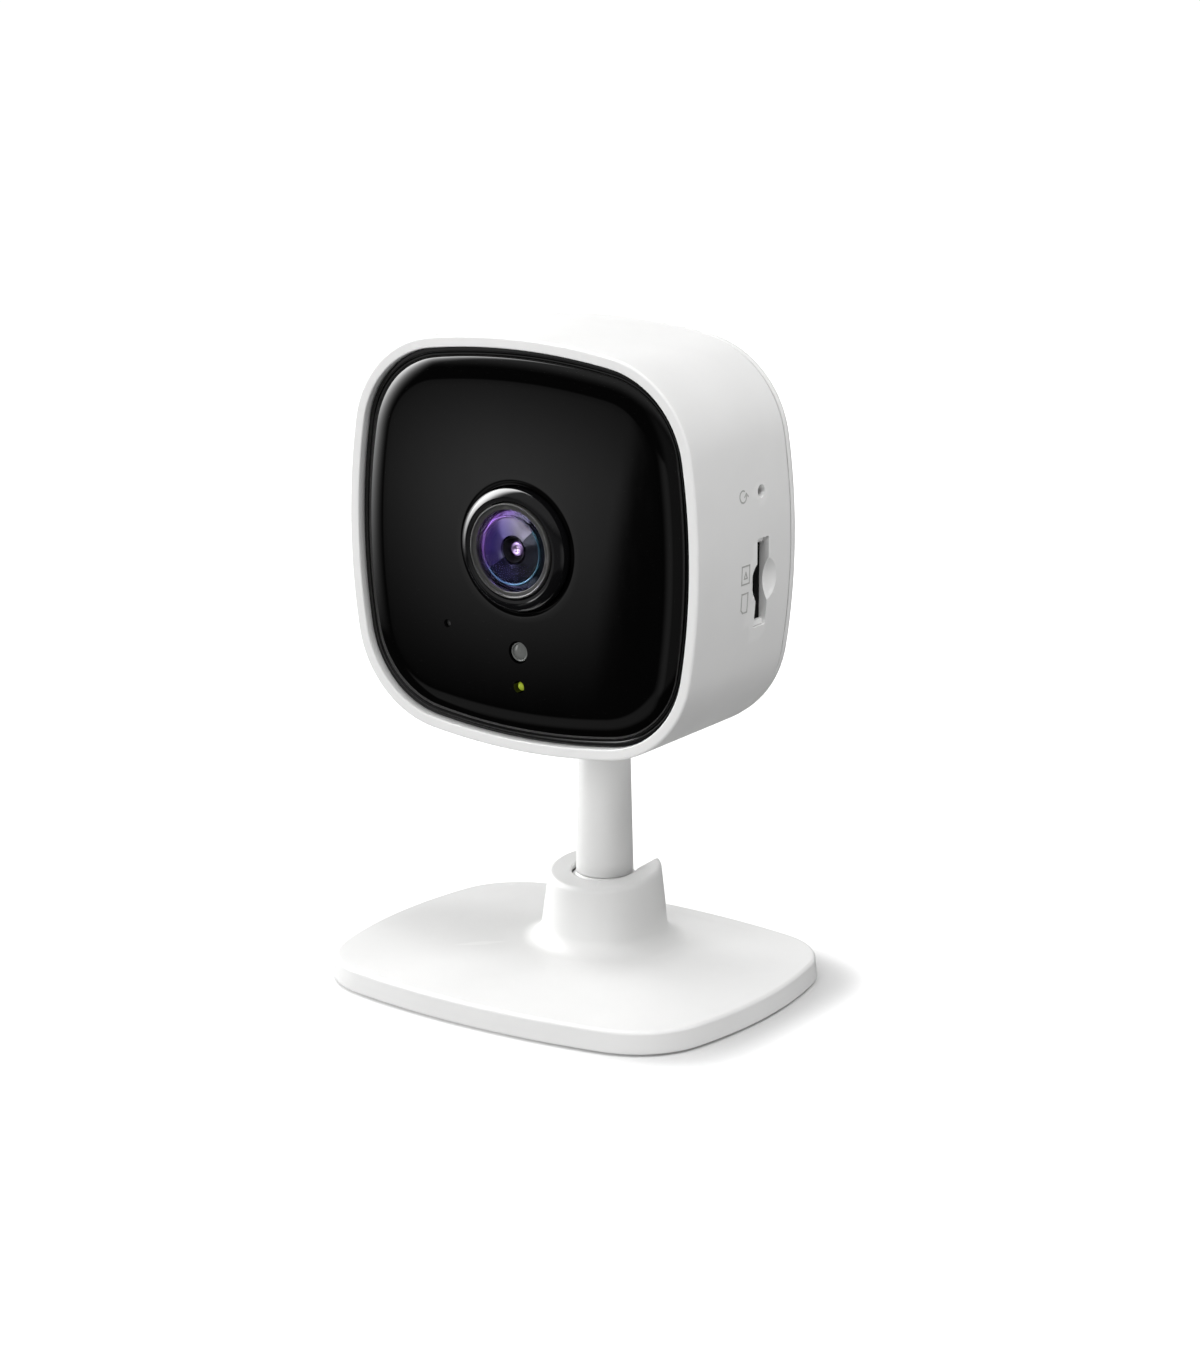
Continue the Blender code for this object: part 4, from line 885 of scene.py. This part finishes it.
def make_rear_cover():
    """Domed back, set in from the sleeve by a fine joint, with its grille and jack holes."""
    joint_y = 10.95 * MM
    plug_inset = 1.9 * MM
    inset = 0.12 * MM
    roll_y = 11.45 * MM
    roll_in = 2.4 * MM
    roll_back = 1.7 * MM
    crown_y = 13.5 * MM
    crown_r = 1.2 * MM
    rings = [head_ring(plug_inset, joint_y), head_ring(0.28 * MM, joint_y),
             head_ring(0.14 * MM, 11.09 * MM), head_ring(inset, roll_y)]
    for step in range(1, 14):
        angle = math.radians(6.3 * step)
        rings.append(head_ring(inset + roll_in * (1 - math.cos(angle)),
                               roll_y + roll_back * math.sin(angle)))
    last = rings[-1][0].y
    for step in range(1, 13):
        part = step / 12
        rings.append(head_ring(2.6 * MM, last + (crown_y - last) * math.sin(
            part * math.pi / 2), part, crown_r))
    inner = [head_ring(0, 12.1 * MM, 1.0, crown_r), head_ring(3.3 * MM, 11.8 * MM),
             head_ring(2.9 * MM, 11.3 * MM), head_ring(2.9 * MM, 9.2 * MM),
             head_ring(plug_inset, 9.2 * MM)]
    bm = bmesh.new()
    outer_loops = [[bm.verts.new(point) for point in ring] for ring in rings]
    inner_loops = [[bm.verts.new(point) for point in ring] for ring in inner]
    skin(bm, [*zip(outer_loops, outer_loops[1:]), *zip(inner_loops, inner_loops[1:]),
              (inner_loops[-1], outer_loops[0])])
    bm.faces.new(outer_loops[-1])
    bm.faces.new(inner_loops[0])
    made = new_object("back_cover", bm)
    pitch = 2.3 * MM
    grille = [(0.0, GRILLE_Z)]
    for ring in (1, 2):
        for step in range(6 * ring):
            angle = math.tau * step / (6 * ring)
            grille.append((pitch * ring * math.cos(angle),
                           GRILLE_Z + pitch * ring * math.sin(angle)))
    holes = [((x, 10 * MM, z), (x, 15 * MM, z)) for x, z in grille]
    tools = [
        rods("grille_tool", 0.6 * MM, holes, 24),
        rods("jack_tool", 3.6 * MM, [((0, 9 * MM, JACK_Z), (0, 16 * MM, JACK_Z))], 64),
        rods("cover_neck_tool", NECK_R, [((0, PIVOT_Y, 34 * MM), (0, PIVOT_Y, 44 * MM))]),
        prism("spigot_tool", (-9.2 * MM, 8.6 * MM, 39.9 * MM), (9.2 * MM, 10.6 * MM, 46 * MM)),
    ]
    dress(settle(made, tools, bevel=0.12 * MM), "head", "white_plastic", "rear_cover")


def make_small_parts():
    """Window, status light and microphone in the face, and the card slot's mouth and seal; the seal
    is near-black as painted shade for the slot's deep inside.
    """
    centre = Vector((0, 0, WINDOW_Z))
    profile = [(0, 8.7 * MM), (1.42 * MM, 8.7 * MM), (1.42 * MM, 13.75 * MM),
               *arc(1.3 * MM, 13.8 * MM, 0.12 * MM, 0, 170, 8), (1.12 * MM, 13.68 * MM),
               (0.7 * MM, 13.82 * MM), (0, 13.92 * MM)]
    made = turned("sensor_window", profile, centre, FORWARD, 64)
    dress(settle(made), "head", "light_guide", "light_window")
    centre = Vector((0, 0, LIGHT_Z))
    profile = [(0, 8.7 * MM), (0.65 * MM, 8.7 * MM), (0.65 * MM, 13.35 * MM),
               *arc(0, 13.1 * MM, 0.68 * MM, 25, 86, 8), (0, 13.78 * MM)]
    made = turned("status_light", profile, centre, FORWARD, 48)
    dress(settle(made), "head", "green_light", "status_light_guide")
    centre = Vector((MIC_X, 0, MIC_Z))
    profile = [(0, 12.9 * MM), (0.58 * MM, 12.9 * MM), (0.58 * MM, 13.4 * MM),
               (0.4 * MM, 13.45 * MM), (0, 13.6 * MM)]
    made = turned("microphone_mesh", profile, centre, FORWARD, 32)
    dress(settle(made), "head", "grey_plastic", look=MESH)
    guide = prism("card_mouth", (28.25 * MM, PORT_Y - 1.5 * MM, SLOT_Z - 6.45 * MM),
                  (29.3 * MM, PORT_Y + 1.5 * MM, SLOT_Z + 6.45 * MM))
    tool = prism("mouth_tool", (27 * MM, PORT_Y - 1.1 * MM, SLOT_Z - 5.6 * MM),
                 (31 * MM, PORT_Y + 2.6 * MM, SLOT_Z + 5.6 * MM), 0, 0.6 * MM, 8)
    dress(settle(guide, [tool], bevel=0.08 * MM), "head", "white_plastic", "card_guide")
    # Near-black seal, darker than rubber, set in the slot: painted shade for its deep inside.
    seal = prism("card_seal", (28.0 * MM, PORT_Y - 1.4 * MM, SLOT_Z - 5.95 * MM),
                 (28.75 * MM, PORT_Y + 1.52 * MM, SLOT_Z + 5.95 * MM), 0, 0.3 * MM, 4)
    tool = prism("slit_tool", (27 * MM, PORT_Y - 0.1 * MM, SLOT_Z - 5.5 * MM),
                 (30 * MM, PORT_Y + 0.1 * MM, SLOT_Z + 5.5 * MM), 0, 0.05 * MM, 2)
    dress(settle(seal, [tool], bevel=0.05 * MM), "head", "rubber", look=INNER_BLACK)


def stroke(bm, path):
    """A thin raised line on the head's bowed side, along (y, z) points."""
    width = 0.2 * MM
    under, over = -0.1 * MM, 0.03 * MM

    def on_side(point, lift):
        drop = HEAD_SIDE_R - math.sqrt(HEAD_SIDE_R**2 - (point.z - HEAD_Z)**2)
        return bm.verts.new(point + Vector((HEAD_HALF_W - drop + lift, 0, 0)))

    for first, last in zip(path, path[1:]):
        first = Vector((0, *first))
        last = Vector((0, *last))
        along = (last - first).normalized() * width / 2
        side = Vector((0, -along.z, along.y))
        foot = [first - along - side, last + along - side, last + along + side,
                first - along + side]
        low = [on_side(point, under) for point in foot]
        top = [on_side(point, over) for point in foot]
        bm.faces.new(low)
        bm.faces.new(top)
        skin(bm, [(low, top)])


def make_pictograms():
    """Plain signs beside the reset hole and the card slot, given in mm."""
    circle = []
    for angle in range(60, 361, 20):
        turn = math.radians(angle)
        circle.append((-1.9 + 0.85 * math.cos(turn), RESET_Z / MM + 0.85 * math.sin(turn)))
    tip_y, tip_z = circle[-1]
    signs = [
        circle,
        [(tip_y - 0.45, tip_z - 0.1), (tip_y, tip_z + 0.35), (tip_y + 0.45, tip_z - 0.1)],
        [(-2.6, 64.6), (-0.6, 64.6), (-0.6, 67.2), (-2.6, 67.2), (-2.6, 64.6)],
        [(-2.0, 65.4), (-1.2, 65.4), (-1.6, 66.3), (-2.0, 65.4)],
        [(-2.4, 63.2), (-0.8, 63.2), (-0.8, 60.4), (-1.9, 60.4), (-2.4, 60.9), (-2.4, 63.2)],
    ]
    bm = bmesh.new()
    for sign in signs:
        stroke(bm, [(y * MM, z * MM) for y, z in sign])
    made = new_object("side_pictograms", bm)
    dress(settle(made), "head", "grey_plastic", look=PRINT)


MESH = cellular("microphone_mesh", (0.05, 0.05, 0.05), 0.5, 5200.0, 0.04 * MM)
PRINT = moulded("grey_print", (0.42, 0.42, 0.41), 0.6)
RING_GLOSS = glossy_black("black_gloss_ring", (0.004, 0.004, 0.0045), 0.09)
# Near-black: the iris's own black, and painted shade where it fills the card slot.
INNER_BLACK = moulded("inner_black", (0.003, 0.003, 0.003), 0.6, Specular_IOR_Level=0.12)
RING_MATT = moulded("black_turned_ring", (0.035, 0.035, 0.034), 0.38, depth=0.006 * MM,
                    mottle=0.1, worn=1.8)


def pupil_glass():
    """Small inner element: bright violet-white coating over a dark barrel; its pale pink-white
    middle is a painted highlight.
    """
    made, tree, shader = start("pupil_coating_and_painted_highlight", 0.12, 0.7, Coat_Weight=1.0)
    radius, _ = polar(tree)
    cloud = noise(tree, place(tree), 1800.0, 2.0)
    # Pale pink-white in the middle, violet towards the edge: a painted highlight over the coating's
    # tint.
    rim = remap(tree, radius, 0.2 * MM, 1.1 * MM, 0.0, 1.0)
    tint = mix_colour(tree, rim, (0.85, 0.7, 0.76), (0.5, 0.28, 0.72))
    tree.links.new(mix_colour(tree, cloud, tint, (0.4, 0.3, 0.46)),
                   shader.inputs["Base Color"])
    return made


PUPIL = pupil_glass()

make_base()
make_ball_and_stem()
make_shell()
make_glass()
make_lens()
make_rear_cover()
make_small_parts()
make_pictograms()

for name, node in frame["nodes"].items():
    if not node.hide_render:
        node.data.materials.clear()
        node.data.materials.append(LOOKS[slot_of[name]])


# ---- Floor and light -----------------------------------------------------------------------

FLOOR_R = 2.0
# The floor glows from near the base on, most of all on the lit side, so that it meets the
# backdrop's white: where the glow starts and ends, in base outlines and then in metres.
SHADOW_SHIFT = (4 * MM, 1.5 * MM, 0)
NEAR_GLOW = (0.8, 1.35)
FAR_GLOW = (0.12, 0.3)


def make_floor():
    """Pale floor that keeps the contact shadow and brightens to the backdrop's white."""
    bm = bmesh.new()
    bmesh.ops.create_circle(bm, cap_ends=True, segments=96, radius=FLOOR_R)
    floor = new_object("studio_floor", bm)
    made, tree, shader = start("studio_floor", 0.8, Specular_IOR_Level=0.0)
    where = place(tree)
    grain = noise(tree, where, 900.0, 3.0)
    tree.links.new(mix_colour(tree, grain, (0.63, 0.63, 0.63), (0.65, 0.65, 0.65)),
                   shader.inputs["Base Color"])
    away = vector_calc(tree, "LENGTH", where).outputs["Value"]
    shifted = vector_calc(tree, "SUBTRACT", where, SHADOW_SHIFT).outputs[0]
    parts = vector_calc(tree, "MULTIPLY", shifted,
                        (1 / BASE_HALF_W, 1 / BASE_HALF_D, 0)).outputs[0]
    squares = vector_calc(tree, "MULTIPLY", parts, parts).outputs[0]
    beside = vector_calc(tree, "LENGTH", squares).outputs["Value"]
    near = remap(tree, beside, *NEAR_GLOW, 0.0, 0.5, "SMOOTHSTEP")
    far = remap(tree, away, *FAR_GLOW, 0.0, 0.5)
    shader.inputs["Emission Color"].default_value = (1.0, 1.0, 1.0, 1.0)
    tree.links.new(calc(tree, "ADD", near, far), shader.inputs["Emission Strength"])
    floor.data.materials.append(made)
    floor.visible_diffuse = False
    floor.visible_glossy = False
    floor.visible_transmission = False
    floor.visible_shadow = False


SOFTBOX_SIZE = 0.6
SOFTBOX_DISTANCE = 1.2


def softbox(azimuth, elevation, power):
    """A square lamp aimed at the object, which glossy surfaces don't see."""
    away = towards(azimuth, elevation)
    data = bpy.data.lights.new("softbox", "AREA")
    data.shape = "SQUARE"
    data.size = SOFTBOX_SIZE
    data.energy = power
    lamp = bpy.data.objects.new("softbox", data)
    bpy.context.scene.collection.objects.link(lamp)
    lamp.location = Vector((0, 0, 50 * MM)) + away * SOFTBOX_DISTANCE
    lamp.rotation_mode = "QUATERNION"
    lamp.rotation_quaternion = (-away).to_track_quat("-Z", "Y")
    lamp.visible_glossy = False


# Lamps as azimuth, elevation and power in watts.
LAMPS = [(-30, 15, 6.7), (-100, 5, 5.4), (-20, 75, 3.5), (90, 60, 6.6), (-120, 50, 3.4),
         (15, 25, 3.2), (60, 75, 0.5), (30, 55, 2.0), (-90, 15, 2.3), (0, 89, 0.4),
         (80, -30, 5.2), (-60, -30, 2.9), (120, 10, 0.8), (-30, -35, 1.8), (180, 4, 3.0),
         (-150, 45, 0.7)]

# What glossy surfaces see, as strength, then low edge, high edge and each edge's softness in
# degrees, for azimuth and for elevation.
CARDS = [
    (15.0, (-112, -57, 12, 14), (2, 88, 22, 2)),
    (0.27, (-19, -6, 6, 6), (-27, -6.3, 3, 0.6)),
    (0.5, (44, 80, 18, 10), (-25, 5, 8, 8)),
    (0.12, (-10, 60, 8, 12), (-27, 15, 3, 12)),
    (0.2, (-48.7, -12, 0.6, 6), (-35, -22, 5, 1.5)),
    (0.4, (-181, 181, 1, 1), (20, 91, 14, 1)),
]
# The grey card in front has a soft left side and a sharp right edge, which leans: its azimuth
# at one elevation, in degrees, and how far it moves for each degree of elevation.
FRONT_CARD = (0.63, (-40.5, -30, 5, 7), (-15, -7.8, 4.5, 3.2))
FRONT_EDGE = -31.0
FRONT_EDGE_LEAN = 0.27
FRONT_EDGE_LEVEL = -12.5
FRONT_EDGE_SOFT = 0.25
# What glossy surfaces see between the cards, and what matt surfaces see all round.
DARK = 0.01
AMBIENT = 0.016


def band(tree, value, low, high, soft_low, soft_high):
    """1 between two values and 0 outside them, with soft steps."""
    up = remap(tree, value, low - soft_low, low + soft_low, 0.0, 1.0, "SMOOTHSTEP")
    down = remap(tree, value, high - soft_high, high + soft_high, 1.0, 0.0, "SMOOTHSTEP")
    return calc(tree, "MULTIPLY", up, down)


def make_world():
    """White to the camera, and a dark studio with soft cards to glossy surfaces."""
    world = bpy.data.worlds.new("studio")
    bpy.context.scene.world = world
    world.use_nodes = True
    world.cycles.sampling_method = "NONE"
    tree = world.node_tree
    tree.nodes.clear()
    coords = add(tree, "ShaderNodeTexCoord")
    x, y, z = add(tree, "ShaderNodeSeparateXYZ", {0: coords.outputs["Generated"]}).outputs
    turn = calc(tree, "ARCTAN2", x, calc(tree, "MULTIPLY", y, -1.0))
    azimuth = calc(tree, "DEGREES", turn)
    elevation = calc(tree, "DEGREES", calc(tree, "ARCSINE", z))
    lean = calc(tree, "MULTIPLY_ADD", elevation, -FRONT_EDGE_LEAN, azimuth)
    edge = FRONT_EDGE - FRONT_EDGE_LEAN * FRONT_EDGE_LEVEL
    cut = remap(tree, lean, edge - FRONT_EDGE_SOFT, edge + FRONT_EDGE_SOFT, 1.0, 0.0,
                "SMOOTHSTEP")
    glow = DARK
    for card in [*CARDS, FRONT_CARD]:
        strength, across, along = card
        lit = calc(tree, "MULTIPLY", band(tree, azimuth, *across), band(tree, elevation, *along))
        if card is FRONT_CARD:
            lit = calc(tree, "MULTIPLY", lit, cut)
        glow = calc(tree, "MAXIMUM", calc(tree, "MULTIPLY", lit, strength), glow)
    path = add(tree, "ShaderNodeLightPath")
    matt = add(tree, "ShaderNodeMix", {0: path.outputs["Is Diffuse Ray"], 2: glow, 3: AMBIENT},
               data_type="FLOAT")
    seen = add(tree, "ShaderNodeMix", {0: path.outputs["Is Camera Ray"], 2: matt.outputs[0],
                                       3: 1.0}, data_type="FLOAT")
    shader = add(tree, "ShaderNodeBackground", {0: (1.0, 1.0, 1.0, 1.0), 1: seen.outputs[0]})
    out = add(tree, "ShaderNodeOutputWorld")
    tree.links.new(shader.outputs[0], out.inputs[0])


make_floor()
make_world()
for lamp_azimuth, lamp_elevation, lamp_power in LAMPS:
    softbox(lamp_azimuth, lamp_elevation, lamp_power)
bpy.context.scene.view_settings.view_transform = "Standard"
